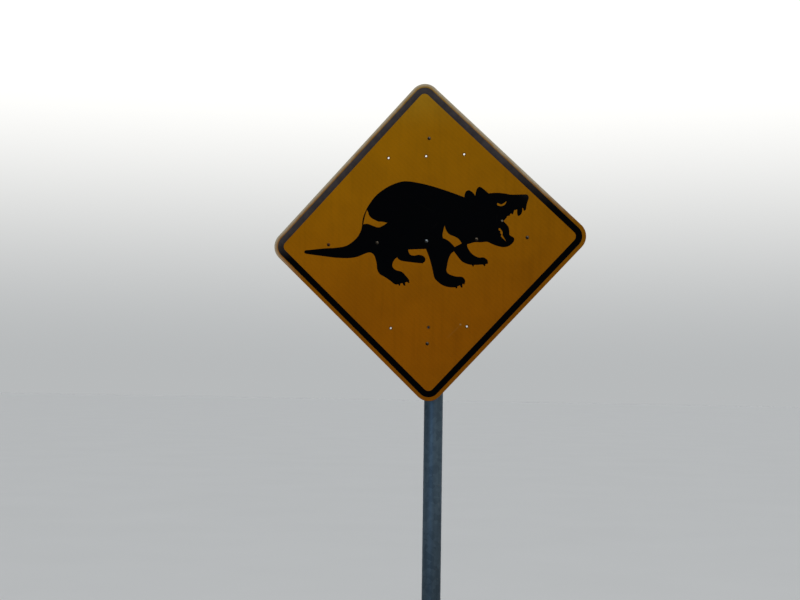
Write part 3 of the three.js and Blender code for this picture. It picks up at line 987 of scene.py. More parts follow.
def placing_recipe() -> Recipe:
    """A tree that sets a part at each point of a mesh, faces it that point's way and turns it at random.

    Returns:
        The tree.
    """
    recipe = Recipe("placed parts")
    graph = recipe.graph
    part = recipe.geometry_of("Part")
    named = graph.add("GeometryNodeInputNamedAttribute", {"Name": "facing"}, data_type="FLOAT_VECTOR")
    facing = graph.add("FunctionNodeEulerToRotation", {"Euler": named.outputs[0]}).outputs[0]
    points = graph.add("GeometryNodeMeshToPoints", {"Mesh": recipe.geometry}).outputs[0]
    inputs = {"Points": points, "Instance": part, "Rotation": facing}
    placed = graph.add("GeometryNodeInstanceOnPoints", inputs).outputs[0]
    draw = graph.add("FunctionNodeRandomValue", {"Seed": recipe.take("Seed", "Int")}, data_type="FLOAT")
    turn = graph.math("MULTIPLY", draw.outputs[1], recipe.take("Most turn", "Float"))
    spin = graph.add("FunctionNodeEulerToRotation", {"Euler": graph.combine(0.0, turn, 0.0)}).outputs[0]
    inputs = {"Instances": placed, "Rotation": spin, "Local Space": True}
    recipe.end(graph.add("GeometryNodeRotateInstances", inputs).outputs[0])
    return recipe


def mesh_of(shape: bmesh.types.BMesh, name: str) -> bpy.types.Mesh:
    """A plain mesh from a bmesh, which is freed.

    Args:
        shape: The bmesh.
        name: The mesh's name.

    Returns:
        The mesh.
    """
    mesh = bpy.data.meshes.new(name)
    shape.to_mesh(mesh)
    shape.free()
    return mesh


def loft(name: str, rings: Sequence[Ring], closed: bool = False) -> bpy.types.Mesh:
    """Joins rings of points into a closed surface that faces outwards.

    Args:
        name: The mesh's name.
        rings: Loops of equal count, or of one point for a pole.
        closed: Whether the last ring joins the first. Otherwise both ends are filled.

    Returns:
        The mesh.
    """
    shape = bmesh.new()
    loops = [[shape.verts.new(point) for point in ring] for ring in rings]
    pairs = list(zip(loops, loops[1:]))
    if closed:
        pairs.append((loops[-1], loops[0]))
    for first, second in pairs:
        count = max(len(first), len(second))
        for i in range(count):
            around = ((first, i), (first, i + 1), (second, i + 1), (second, i))
            corners = dict.fromkeys(loop[j % len(loop)] for loop, j in around)
            shape.faces.new(list(corners))
    if not closed:
        for end in (loops[0], loops[-1]):
            if len(end) > 1:
                shape.faces.new(end)
    bmesh.ops.recalc_face_normals(shape, faces=shape.faces[:])
    return mesh_of(shape, name)


def circle(radius: float, height: float, steps: int) -> list[Vector]:
    """A level ring of points about the z axis, or a pole where the radius is nothing.

    Args:
        radius: The ring's radius.
        height: Its height.
        steps: How many points it has.

    Returns:
        The points.
    """
    if radius == 0:
        return [Vector((0.0, 0.0, height))]
    turns = (math.tau * i / steps for i in range(steps))
    return [Vector((radius * math.cos(t), radius * math.sin(t), height)) for t in turns]


def lathe(name: str, profile: Sequence[Flat], steps: int, closed: bool = False) -> bpy.types.Mesh:
    """A surface of revolution about the z axis, from a profile of radius and height."""
    return loft(name, [circle(radius, height, steps) for radius, height in profile], closed)


def arc(centre: Flat, radius: float, start: float, end: float, steps: int) -> list[Flat]:
    """Points on an arc, with its turns in degrees."""
    turns = (math.radians(start + (end - start) * i / steps) for i in range(steps + 1))
    return [(centre[0] + radius * math.cos(t), centre[1] + radius * math.sin(t)) for t in turns]


def rounded(corners: Sequence[Flat], radius: float, steps: int = 4, closed: bool = True) -> list[Flat]:
    """Cuts each corner of an outline with a smooth bend.

    Args:
        corners: The outline's corners in order.
        radius: How far from a corner its bend begins.
        steps: Parts in each bend.
        closed: Whether the outline closes on itself. Otherwise its two ends stay.

    Returns:
        The smoother outline.
    """
    points: list[Flat] = []
    last = len(corners) - 1
    for i, corner in enumerate(corners):
        if not closed and i in (0, last):
            points.append(corner)
            continue
        here, before, after = (Vector(corners[k % len(corners)]) for k in (i, i - 1, i + 1))
        start = here + (before - here).normalized() * radius
        end = here + (after - here).normalized() * radius
        for k in range(steps + 1):
            share = k / steps
            bent = start.lerp(here, share).lerp(here.lerp(end, share), share)
            points.append((bent.x, bent.y))
    return points


def joined(name: str, meshes: Sequence[bpy.types.Mesh]) -> bpy.types.Mesh:
    """Several meshes as one.

    Args:
        name: The new mesh's name.
        meshes: The meshes.

    Returns:
        The mesh.
    """
    shape = bmesh.new()
    for mesh in meshes:
        shape.from_mesh(mesh)
    return mesh_of(shape, name)


def turned(mesh: bpy.types.Mesh, matrix: Matrix) -> bpy.types.Mesh:
    """The mesh itself, moved."""
    mesh.transform(matrix)
    return mesh


def line_object(name: str, points: Sequence[Vector], closed: bool) -> bpy.types.Object:
    """A curve object of straight lengths.

    Args:
        name: The object's name.
        points: The points that it passes.
        closed: Whether it closes on itself.

    Returns:
        The object.
    """
    curve = bpy.data.curves.new(name, "CURVE")
    curve.dimensions = "3D"
    spline = curve.splines.new("POLY")
    spline.points.add(len(points) - 1)
    for knot, point in zip(spline.points, points):
        knot.co = (*point, 1.0)
    spline.use_cyclic_u = closed
    return new_object(name, curve)


class Sweeper:
    """Sweeps sections along paths with one Geometry Nodes tree."""

    def __init__(self) -> None:
        """Builds the tree."""
        self.recipe = sweep_recipe()

    def bar(
        self,
        name: str,
        path: Sequence[Vector],
        section: Sequence[Flat],
        material: bpy.types.Material,
        drill: bpy.types.Mesh | None = None,
    ) -> bpy.types.Mesh:
        """Makes a bar.

        Args:
            name: The mesh's name.
            path: The line that the section's origin follows.
            section: Outline whose x goes to the right of the path and whose y goes down.
            material: The bar's finish.
            drill: Solids that are cut out of the bar.

        Returns:
            The bar's mesh.
        """
        line = line_object(f"{name}_path", path, closed=False)
        outline = line_object(f"{name}_section", [Vector((*point, 0.0)) for point in section], closed=True)
        values = {"Path": line, "Section": outline, "Material": material}
        mesh = self.recipe.make(name, drill or bpy.data.meshes.new(f"{name}_drill"), values)
        for helper in (line, outline):
            bpy.data.objects.remove(helper)
        return mesh


@dataclass(frozen=True)
class Place:
    """Where a copy of a part goes, its turns about the axes, how rusty it is and how strong its painted glint
    is.
    """

    point: Vector
    facing: Vector
    rust: float = 0.0
    bright: float = 0.0


class Placer:
    """Sets copies of a part at places with one Geometry Nodes tree."""

    def __init__(self) -> None:
        """Builds the tree."""
        self.recipe = placing_recipe()

    def copies(
        self,
        name: str,
        part: bpy.types.Mesh,
        places: Sequence[Place],
        material: bpy.types.Material,
        most_turn: float,
        seed: int,
    ) -> bpy.types.Mesh:
        """Makes one mesh of all the copies.

        Args:
            name: The mesh's name.
            part: The part, built about the y axis.
            places: Where the copies go.
            material: Their finish.
            most_turn: The largest random turn about a copy's own axis.
            seed: What the turns are drawn from.

        Returns:
            The copies' mesh.
        """
        points = bpy.data.meshes.new(f"{name}_points")
        points.from_pydata([place.point for place in places], [], [])
        facing = points.attributes.new("facing", "FLOAT_VECTOR", "POINT")
        facing.data.foreach_set("vector", [turn for place in places for turn in place.facing])
        for key in ("rust", "bright"):
            amounts = points.attributes.new(key, "FLOAT", "POINT")
            amounts.data.foreach_set("value", [getattr(place, key) for place in places])
        master = new_object(f"{name}_part", part)
        values = {"Part": master, "Most turn": most_turn, "Seed": seed, "Material": material}
        mesh = self.recipe.make(name, points, values)
        bpy.data.objects.remove(master)
        return mesh


@dataclass
class SubAssembly:
    """A group of pieces that share sizes, and the list of those it has made."""

    pieces: list[bpy.types.Object] = field(default_factory=list, init=False)

    def add(
        self,
        mesh: bpy.types.Mesh,
        material: bpy.types.Material,
        slot: Slot,
        nodes: Sequence[str] = (),
        crease: float = 35.0,
    ) -> None:
        """Puts a finished mesh into the scene as a piece.

        Args:
            mesh: The piece's mesh, in place. The piece takes its name.
            material: Its finish.
            slot: The record's slot for that finish. It is not used.
            nodes: The CAD nodes that the piece stands for.
            crease: The angle in degrees from which an edge stays sharp.
        """
        mesh.materials.clear()
        mesh.materials.append(material)
        mesh.shade_smooth()
        mesh.set_sharp_from_angle(angle=math.radians(crease))
        piece = new_object(mesh.name, mesh)
        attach(piece, "root")
        if nodes:
            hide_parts(*nodes)
        self.pieces.append(piece)

    def build(self) -> list[bpy.types.Object]:
        """Makes the pieces."""
        raise NotImplementedError


@dataclass
class SignFace(SubAssembly):
    """The plate with its sheeting, border and figure, each bonded flat on the one below."""

    plane: SignPlane
    sheet_thickness: float = 0.35 * MM
    film_thickness: float = 0.12 * MM
    clearance: float = 0.02 * MM
    merge_distance: float = 0.002 * MM
    edge_radius: float = 0.25 * MM
    edge_segments: int = 2
    edge_angle: float = math.radians(60)
    plate_crease: float = 20.0

    @property
    def sheet_front(self) -> float:
        """Depth of the sheeting's face."""
        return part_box("sign_plate")[0].y - self.clearance - self.sheet_thickness

    @property
    def film_front(self) -> float:
        """Depth of the films' faces."""
        return self.sheet_front - self.clearance - self.film_thickness

    def outline_of(self, node: str, name: str) -> bpy.types.Mesh:
        """A merged copy of a CAD node's mesh.

        Args:
            node: The CAD node.
            name: The copy's name.

        Returns:
            The copy.
        """
        shape = bmesh.new()
        shape.from_mesh(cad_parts[node].data)
        bmesh.ops.remove_doubles(shape, verts=shape.verts[:], dist=self.merge_distance)
        mesh = mesh_of(shape, name)
        stored = mesh.attributes.get("custom_normal")
        if stored:
            mesh.attributes.remove(stored)
        return mesh

    def layer(self, node: str, name: str, front: float, thickness: float) -> bpy.types.Mesh:
        """A flat layer with a CAD node's outline, at its real thickness.

        Args:
            node: The CAD node.
            name: The layer's name.
            front: Depth of its face.
            thickness: Its thickness.

        Returns:
            The layer.
        """
        mesh = self.outline_of(node, name)
        low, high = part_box(node)
        for vertex in mesh.vertices:
            in_front = vertex.co.y < (low.y + high.y) / 2
            vertex.co.y = front if in_front else front + thickness
        return mesh

    def plate(self) -> bpy.types.Mesh:
        """The bare plate, with its sheared edges a little rounded.

        Returns:
            The plate.
        """
        blank = new_object("plate_blank", self.outline_of("sign_plate", "plate_blank"))
        bevel = blank.modifiers.new("edge", "BEVEL")
        bevel.width, bevel.segments = self.edge_radius, self.edge_segments
        bevel.limit_method, bevel.angle_limit = "ANGLE", self.edge_angle
        bevel.use_clamp_overlap = False
        mesh = plain_mesh(blank, "plate")
        bpy.data.objects.remove(blank)
        return mesh

    def build(self) -> list[bpy.types.Object]:
        """Makes the plate, the sheeting and the two films.

        Returns:
            The pieces.
        """
        bare = BareAluminium("plate aluminium").material()
        self.add(self.plate(), bare, Slot.PLATE, ["sign_plate"], crease=self.plate_crease)
        sheeting = self.layer("face_sheet", "sheeting", self.sheet_front, self.sheet_thickness)
        self.add(sheeting, Sheeting().material(self.plane), Slot.SHEETING, ["face_sheet"])
        black = BlackFilm().material(self.plane)
        for node, name in (("border_film", "border"), ("figure_film", "figure")):
            film = self.layer(node, name, self.film_front, self.film_thickness)
            self.add(film, black, Slot.FILM, [node])
        return self.pieces


@dataclass
class Rivets(SubAssembly):
    """Seven blind rivets: a low dome with a dimple on the face, and a tail spread inside the rail.

    The dimple's floor and lip, the lower edge and the seat are shares of the dimple's or the head's own size.
    """

    plane: SignPlane
    placer: Placer
    face: SignFace
    head_radius: float = 5.5 * MM
    head_height: float = 2.0 * MM
    rim_height: float = 0.4 * MM
    lower_edge: Flat = (0.985, 0.08 * MM)
    seat: float = 0.96
    dome_step: int = 15
    dimple_radius: float = 1.2 * MM
    dimple_depth: float = 0.9 * MM
    dimple_floor: float = 0.8
    dimple_lip: float = 0.25
    shank_radius: float = 2.4 * MM
    tail_radius: float = 4.2 * MM
    grip: float = 4.7 * MM
    tail_length: float = 6 * MM
    tail_shoulder: float = 0.9 * MM
    tail_end: float = 1.4 * MM
    film_step: float = 0.1 * MM
    shade_from: float = 0.93
    shade_in_dimple: float = 0.9
    shade_strength: float = 0.85
    steps: int = 40
    rusty: str = "rivet_middle_1"
    # the rivet that gets the painted highlight
    glinting: str = "rivet_middle_3"
    seed: int = 7

    def part(self) -> bpy.types.Mesh:
        """One rivet along the y axis, with the face of the sheeting at y = 0.

        Returns:
            The rivet.
        """
        rim, top, dimple = self.rim_height, self.head_height, self.dimple_radius
        floor = top - self.dimple_depth
        profile = [(0.0, floor), (dimple * self.dimple_floor, floor)]
        profile.append((dimple, top - self.dimple_lip * self.dimple_depth))
        for degrees in range(90 - self.dome_step, -1, -self.dome_step):
            turn = math.radians(degrees)
            profile.append((self.head_radius * math.cos(turn), rim + (top - rim) * math.sin(turn)))
        share, height = self.lower_edge
        profile += [(self.head_radius * share, height), (self.head_radius * self.seat, 0.0)]
        start, end = -self.grip, -self.grip - self.tail_length
        profile += [(self.shank_radius, 0.0), (self.shank_radius, start)]
        profile += [(self.tail_radius, start - self.tail_shoulder), (self.tail_radius, end + self.tail_end)]
        profile += [(self.shank_radius, end), (0.0, end)]
        mesh = lathe("rivet_part", profile, self.steps)
        # painted shade: darker where the head meets the face and down in the dimple
        grime = mesh.attributes.new("grime", "FLOAT", "POINT")
        for vertex in mesh.vertices:
            radius = vertex.co.xy.length
            at_rim = max(0.0, (radius / self.head_radius - self.shade_from) / (1 - self.shade_from))
            in_dimple = float(radius < dimple * self.shade_in_dimple)
            grime.data[vertex.index].value = self.shade_strength * min(1.0, max(at_rim, in_dimple))
        return turned(mesh, Facing.FRONT.matrix)

    def places(self) -> list[Place]:
        """Each rivet's place, on the figure's film or on the sheeting.

        Returns:
            The places.
        """
        found = []
        depths = {name: self.plane.box(name)[0].y for name in nodes_of("rivet_")}
        foremost = min(depths.values())
        for name, depth in depths.items():
            on_film = depth - foremost < self.film_step
            point = self.plane.middle_of(name)
            point.y = self.face.film_front if on_film else self.face.sheet_front
            rust, bright = float(name == self.rusty), float(name == self.glinting)
            found.append(Place(point, self.plane.facing, rust, bright))
        return found

    def build(self) -> list[bpy.types.Object]:
        """Makes all the rivets as one piece.

        Returns:
            The pieces.
        """
        material = RivetFinish().material()
        mesh = self.placer.copies("rivets", self.part(), self.places(), material, math.tau, self.seed)
        self.add(mesh, material, Slot.RIVET, nodes_of("rivet_"))
        return self.pieces


@dataclass
class Rails(SubAssembly):
    """Three slotted aluminium rails behind the plate."""

    plane: SignPlane
    sweeper: Sweeper
    wall: float = 2.2 * MM
    slot: float = 14 * MM
    bend: float = 0.9 * MM

    def section(self, height: float, depth: float) -> list[Flat]:
        """The rail's section, with x towards the sign's front from the rail's back.

        Args:
            height: The rail's height.
            depth: Its depth.

        Returns:
            The section's outline.
        """
        half, lip, wall = height / 2, self.slot / 2, self.wall
        upper = [(depth, half), (0.0, half), (0.0, lip)]
        inner = [(wall, lip), (wall, half - wall), (depth - wall, half - wall)]
        above = upper + inner
        below = [(x, -y) for x, y in reversed(above)]
        return rounded(above + below, self.bend)

    def build(self) -> list[bpy.types.Object]:
        """Makes each rail.

        Returns:
            The pieces.
        """
        material = BareAluminium("rail aluminium").material()
        for name in RAILS:
            low, high = self.plane.box(f"rail_{name}")
            middle = (low.z + high.z) / 2
            ends = [self.plane.matrix @ Vector((x, high.y, middle)) for x in (low.x, high.x)]
            section = self.section(high.z - low.z, high.y - low.y)
            mesh = self.sweeper.bar(f"rail_bar_{name}", ends, section, material)
            self.add(mesh, material, Slot.RAIL, [f"rail_{name}"])
        return self.pieces


@dataclass
class Straps(SubAssembly):
    """Three flat straps bent round the post, with an ear and a bolt hole on each side."""

    plane: SignPlane
    sweeper: Sweeper
    thickness: float = 3 * MM
    bend: float = 6 * MM
    bend_steps: int = 8
    edge: float = 0.7 * MM
    edge_steps: int = 3
    hole_radius: float = 5 * MM
    hole_steps: int = 32
    drill_length: float = 10 * MM
    drill_start: float = 3 * MM
    steps: int = 48

    def path(self, low: Vector, high: Vector) -> list[Vector]:
        """The middle line of a strap, from the end of one ear to the end of the other.

        Args:
            low: The CAD strap's lowest corner.
            high: Its highest corner.

        Returns:
            The line's points.
        """
        radius = high.y - self.thickness / 2
        ear = low.y + self.thickness / 2
        corners = [(low.x, ear), (-radius, ear), (-radius, 0.0)]
        side = rounded(corners, self.bend, self.bend_steps, closed=False)
        back = arc((0.0, 0.0), radius, 180, 0, self.steps)
        flat = side[:-1] + back + [(-x, y) for x, y in reversed(side[:-1])]
        return [Vector((x, y, (low.z + high.z) / 2)) for x, y in flat]

    def drill(self, name: str) -> bpy.types.Mesh:
        """The two bolt holes' cutters.

        Args:
            name: The rail that the strap holds.

        Returns:
            The cutters, as one mesh.
        """
        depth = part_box(f"strap_{name}")[0].y - self.drill_start
        radius, length = self.hole_radius, self.drill_length
        profile = [(0.0, 0.0), (radius, 0.0), (radius, length), (0.0, length)]
        holes = []
        for i in (1, 2):
            low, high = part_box(f"bolt_{name}_{i}")
            place = Vector(((low.x + high.x) / 2, depth, (low.z + high.z) / 2))
            hole = turned(lathe("hole", profile, self.hole_steps), Facing.BACK.matrix)
            holes.append(turned(hole, Matrix.Translation(place)))
        return joined(f"drill_{name}", holes)

    def build(self) -> list[bpy.types.Object]:
        """Makes each strap.

        Returns:
            The pieces.
        """
        material = Galvanised().material()
        for name in RAILS:
            low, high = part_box(f"strap_{name}")
            half = Vector((self.thickness / 2, (high.z - low.z) / 2))
            corners = [(half.x, -half.y), (half.x, half.y), (-half.x, half.y), (-half.x, -half.y)]
            section = rounded(corners, self.edge, self.edge_steps)
            path, drill = self.path(low, high), self.drill(name)
            mesh = self.sweeper.bar(f"strap_band_{name}", path, section, material, drill)
            self.add(mesh, material, Slot.GALVANISED, [f"strap_{name}"])
        return self.pieces


@dataclass(frozen=True)
class Hexagon:
    """A hexagon with its corners cut back by a cone from a share of its flat radius, as on a nut."""

    corner_radius: float
    chamfer: float = 0.93
    slope: float = math.tan(math.radians(30))
    steps: int = 48

    @property
    def flat_radius(self) -> float:
        """From the middle to a flat."""
        return self.corner_radius * math.cos(math.pi / 6)

    def edge(self, height: float, towards: int) -> list[Vector]:
        """The ring of the hexagon's edge, which the cone lowers at the corners.

        Args:
            height: Height of the end face.
            towards: 1 where the end face is the upper one, and -1 where it is the lower one.

        Returns:
            The ring's points.
        """
        ring = []
        for i in range(self.steps):
            turn = math.tau * i / self.steps
            off_flat = (turn % (math.pi / 3)) - math.pi / 6
            radius = self.flat_radius / math.cos(off_flat)
            drop = (radius - self.chamfer * self.flat_radius) * self.slope
            ring.append(Vector((radius * math.cos(turn), radius * math.sin(turn), height - towards * drop)))
        return ring

    def rings(self, low: float, high: float) -> list[list[Vector]]:
        """The rings of a hexagon from its lower end face to its upper one."""
        lower, upper = (circle(self.chamfer * self.flat_radius, height, self.steps) for height in (low, high))
        return [lower, self.edge(low, -1), self.edge(high, 1), upper]


@dataclass
class Bolts(SubAssembly):
    """Six bolts through the rails' slots and the straps' ears, each with a washer and a nut.

    The thread's base, from its middle to one side, is a share of the pitch.
    """

    plane: SignPlane
    placer: Placer
    sweeper: Sweeper
    radius: float = 4 * MM
    pitch: float = 1.25 * MM
    thread_depth: float = 0.55 * MM
    thread_crest: float = 0.06 * MM
    thread_root: float = 0.1 * MM
    thread_base: float = 0.42
    thread_steps: int = 24
    head_thickness: float = 5.3 * MM
    end_bevel: float = 0.9 * MM
    bore_clearance: float = 0.1 * MM
    washer_edge: float = 0.25 * MM
    washer_edge_steps: int = 3
    overlap: float = 1 * MM
    steps: int = 48
    most_turn: float = math.radians(60)
    seed: int = 11

    def names(self) -> list[str]:
        """What follows bolt_, nut_ or washer_ in the CAD nodes' names."""
        return [f"{rail}_{i}" for rail in RAILS for i in (1, 2)]

    def thread(self, start: float, end: float, material: bpy.types.Material) -> bpy.types.Mesh:
        """A ridge that winds round the bolt.

        Args:
            start: Height of its lower end.
            end: Height of its upper end.
            material: Its finish.

        Returns:
            The ridge.
        """
        radius, rise = self.radius - self.thread_depth, self.pitch / self.thread_steps
        path = []
        for i in range(int((end - start) / self.pitch * self.thread_steps) + 1):
            turn = math.tau * i / self.thread_steps
            path.append(Vector((radius * math.cos(turn), radius * math.sin(turn), start + rise * i)))
        half, crest = self.pitch * self.thread_base, self.thread_crest
        ridge = [(self.thread_depth, -crest), (self.thread_depth, crest)]
        ridge += [(-self.thread_root, half), (-self.thread_root, -half)]
        return self.sweeper.bar("thread", path, ridge, material)

    def part(self, material: bpy.types.Material) -> bpy.types.Mesh:
        """One bolt with its washer and nut along the y axis, at its real depth.

        Args:
            material: Its finish.

        Returns:
            The bolt.
        """
        bolt_low, bolt_high = self.plane.box("bolt_middle_1")
        washer_low, washer_high = self.plane.box("washer_middle_1")
        nut_low, nut_high = self.plane.box("nut_middle_1")
        hexagon = Hexagon((nut_high.x - nut_low.x) / 2)
        seat, end = bolt_low.y + self.head_thickness, bolt_high.y
        head = hexagon.rings(bolt_low.y, seat)
        head[-2:] = [[Vector((p.x, p.y, seat)) for p in head[-2]]]
        head_mesh = loft("head", head)
        core = self.radius - self.thread_depth
        start = seat - self.overlap
        profile = [(0.0, start), (self.radius, start), (self.radius, washer_low.y)]
        profile += [(core, washer_low.y + self.overlap), (core, end - self.end_bevel)]
        profile += [(core - self.end_bevel, end), (0.0, end)]
        shank = lathe("shank", profile, self.steps)
        bore, outer = self.radius + self.bore_clearance, (washer_high.x - washer_low.x) / 2
        corners = [(bore, washer_low.y), (outer, washer_low.y), (outer, washer_high.y), (bore, washer_high.y)]
        rim = rounded(corners, self.washer_edge, self.washer_edge_steps)
        washer = lathe("washer", rim, self.steps, closed=True)
        inside = [circle(bore, depth, self.steps) for depth in (nut_high.y, nut_low.y)]
        nut = loft("nut", [*hexagon.rings(nut_low.y, nut_high.y), *inside], closed=True)
        thread = self.thread(nut_low.y, end - self.end_bevel - self.pitch / 2, material)
        return turned(joined("bolt_part", [head_mesh, shank, washer, nut, thread]), Facing.BACK.matrix)

    def build(self) -> list[bpy.types.Object]:
        """Makes all the bolts as one piece.

        Returns:
            The pieces.
        """
        material = ZincPlated().material()
        facing = self.plane.facing
        places = [Place(self.plane.middle_of(f"washer_{name}"), facing) for name in self.names()]
        mesh = self.placer.copies("bolts", self.part(material), places, material, self.most_turn, self.seed)
        nodes = [f"{kind}_{name}" for kind in ("bolt", "washer", "nut") for name in self.names()]
        self.add(mesh, material, Slot.FASTENER, nodes)
        return self.pieces


@dataclass
class PostAndCap(SubAssembly):
    """The pipe post and the pressed cap on its top."""

    wall: float = 3.6 * MM
    lip: float = 0.8 * MM
    lip_steps: int = 3
    cap_wall: float = 1.5 * MM
    cap_shoulder: float = 4 * MM
    shoulder_drop: float = 1.2 * MM
    shoulder_turn: float = 70.0
    shoulder_steps: int = 6
    crown_steps: int = 5
    bead: float = 1.05 * MM
    bead_swell: float = 0.35
    skirt: float = 24 * MM
    crimps: int = 3
    crimp_height: float = 11 * MM
    crimp_reach: float = 7 * MM
    crimp_depth: float = 0.5 * MM
    steps: int = 96

    def pipe(self) -> bpy.types.Mesh:
        """The pipe, with both its ends eased.

        Returns:
            The pipe.
        """
        low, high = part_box("post")
        outer = high.x
        corners = [(outer - self.wall, low.z), (outer, low.z), (outer, high.z), (outer - self.wall, high.z)]
        return lathe("post_pipe", rounded(corners, self.lip, self.lip_steps), self.steps, closed=True)

    def cap(self) -> bpy.types.Mesh:
        """The cap, with its skirt crimped onto the pipe.

        Returns:
            The cap.
        """
        low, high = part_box("post_cap")
        outer, inner, shoulder = high.x, high.x - self.cap_wall, self.cap_shoulder
        crown = low.z + self.skirt
        drop = high.z - crown - self.shoulder_drop
        reach = outer - shoulder
        profile = []
        for step in range(self.crown_steps + 1):
            share = step / self.crown_steps
            profile.append((reach * share, high.z - drop * share**2))
        middle = (reach, high.z - drop - shoulder)
        profile += arc(middle, shoulder, self.shoulder_turn, 0, self.shoulder_steps)
        profile += [(outer, low.z + 2 * self.bead), (outer + self.bead_swell * self.bead, low.z + self.bead)]
        profile += [(outer, low.z), (inner, low.z)]
        profile += [(inner, crown - self.cap_wall), (0.0, crown - self.cap_wall)]
        mesh = lathe("post_lid", profile, self.steps)
        for vertex in mesh.vertices:
            self.crimp(vertex.co, low.z + self.crimp_height, outer)
        return mesh

    def crimp(self, place: Vector, middle: float, outer: float) -> None:
        """Presses a point of the skirt inwards where it is near a crimp.

        Args:
            place: The point, which is moved.
            middle: The crimps' height.
            outer: The cap's radius.
        """
        for i in range(self.crimps):
            turn = math.tau * (i + 0.5) / self.crimps
            centre = Vector((outer * math.cos(turn), outer * math.sin(turn), middle))
            share = max(0.0, 1 - (place - centre).length / self.crimp_reach)
            if share:
                place.xy *= 1 - self.crimp_depth * share * share * (3 - 2 * share) / outer

    def build(self) -> list[bpy.types.Object]:
        """Makes the pipe and the cap.

        Returns:
            The pieces.
        """
        material = Galvanised().material()
        self.add(self.pipe(), material, Slot.GALVANISED, ["post"])
        self.add(self.cap(), material, Slot.GALVANISED, ["post_cap"])
        return self.pieces


@dataclass
class DisplayStand(SubAssembly):
    """The flat base, the collar welded to it and the screws that hold the post in the collar.

    The weld bulges through two points whose distances from its inner corner are shares of its leg.
    """

    placer: Placer
    corner: float = 30 * MM
    corner_steps: int = 12
    edge: float = 1.5 * MM
    edge_steps: int = 4
    collar_edge: float = 1.2 * MM
    collar_clearance: float = 1.6 * MM
    weld_leg: float = 6 * MM
    weld_ripples: int = 56
    ripple_steps: int = 6
    ripple_height: float = 0.35 * MM
    weld_swing: float = 0.25 * MM
    weld_swings: int = 5
    weld_sunk: float = 0.3 * MM
    weld_bulge: Flat = (0.72, 0.42)
    weld_crease: float = 60.0
    screw_radius: float = 5 * MM
    screw_hex_radius: float = 9.2 * MM
    screw_head: float = 6.4 * MM
    screw_steps: int = 32
    overlap: float = 1 * MM
    most_turn: float = math.radians(60)
    steps: int = 96
    seed: int = 5

    def square_ring(self, side: float, corner: float, height: float) -> list[Vector]:
        """A level ring in the shape of a square with round corners.

        Args:
            side: The square's side.
            corner: The radius of its corners.
            height: The ring's height.

        Returns:
            The points.
        """
        reach = side / 2 - corner
        points = []
        for quarter, (right, back) in enumerate(((1, 1), (-1, 1), (-1, -1), (1, -1))):
            start = 90 * quarter
            points += arc((right * reach, back * reach), corner, start, start + 90, self.corner_steps)
        return [Vector((x, y, height)) for x, y in points]

    def base(self) -> bpy.types.Mesh:
        """The base plate, with rounded edges above and below.

        Returns:
            The base plate.
        """
        low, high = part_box("stand_base")
        side = high.x - low.x
        rings = []
        for centre, start in ((low.z + self.edge, -90), (high.z - self.edge, 0)):
            for inset, height in arc((self.edge, centre), self.edge, start, start + 90, self.edge_steps):
                drawn_in = 2 * self.edge - inset
                rings.append(self.square_ring(side - 2 * drawn_in, self.corner - drawn_in, height))
        return loft("base_plate", rings)

    def collar(self) -> bpy.types.Mesh:
        """The collar, a short length of tube.

        Returns:
            The collar.
        """
        low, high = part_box("stand_collar")
        outer = high.x - self.weld_leg
        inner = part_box("post")[1].x + self.collar_clearance
        corners = [(inner, low.z), (outer, low.z), (outer, high.z), (inner, high.z)]
        rim = rounded(corners, self.collar_edge, self.edge_steps)
        return lathe("collar_tube", rim, self.steps, closed=True)

    def weld(self) -> bpy.types.Mesh:
        """The bead round the collar's foot, with the ripples that welding leaves.

        Returns:
            The bead.
        """
        outer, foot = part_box("stand_collar")[1].x - self.weld_leg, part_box("stand_base")[1].z
        smallest = self.weld_leg - self.ripple_height - self.weld_swing
        inner, low, (far, near) = outer - self.overlap, foot - self.weld_sunk, self.weld_bulge
        count = self.weld_ripples * self.ripple_steps
        rings = []
        for i in range(count):
            turn = math.tau * i / count
            ripple = self.ripple_height * abs(math.sin(turn * self.weld_ripples / 2))
            leg = smallest + ripple + self.weld_swing * math.sin(self.weld_swings * turn)
            bead = [(inner, low), (outer + leg, low), (outer + leg * far, foot + leg * near)]
            bead += [(outer + leg * near, foot + leg * far), (outer, foot + leg), (inner, foot + leg)]
            rings.append([Vector((r * math.cos(turn), r * math.sin(turn), z)) for r, z in bead])
        return loft("weld_bead", rings, closed=True)

    def screw(self) -> bpy.types.Mesh:
        """One screw along the y axis, with its head outwards.

        Returns:
            The screw.
        """
        low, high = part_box("stand_screw_1")
        seat, tip, radius, overlap = high.y - self.screw_head, low.y, self.screw_radius, self.overlap
        rings = Hexagon(self.screw_hex_radius).rings(seat, high.y)
        rings[:2] = [[Vector((p.x, p.y, seat)) for p in rings[1]]]
        head = loft("screw_head", rings)
        profile = [(0.0, tip), (radius - overlap, tip), (radius, tip + overlap)]
        profile += [(radius, seat + overlap), (0.0, seat + overlap)]
        shank = lathe("screw_shank", profile, self.screw_steps)
        return turned(joined("screw_part", [head, shank]), Facing.BACK.matrix)

    def build(self) -> list[bpy.types.Object]:
        """Makes the base, the collar, its weld and the screws.

        Returns:
            The pieces.
        """
        steel = Galvanised().material()
        self.add(self.base(), steel, Slot.GALVANISED, ["stand_base"])
        self.add(self.collar(), steel, Slot.GALVANISED, ["stand_collar"])
        self.add(self.weld(), steel, Slot.GALVANISED, crease=self.weld_crease)
        zinc = ZincPlated().material()
        nodes = nodes_of("stand_screw_")
        places = []
        for node in nodes:
            middle = sum(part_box(node), Vector()) / 2
            turn = math.atan2(-middle.x, middle.y)
            places.append(Place(Vector((0.0, 0.0, middle.z)), Vector((0.0, 0.0, turn))))
        mesh = self.placer.copies("collar_screws", self.screw(), places, zinc, self.most_turn, self.seed)
        self.add(mesh, zinc, Slot.FASTENER, nodes)
        return self.pieces


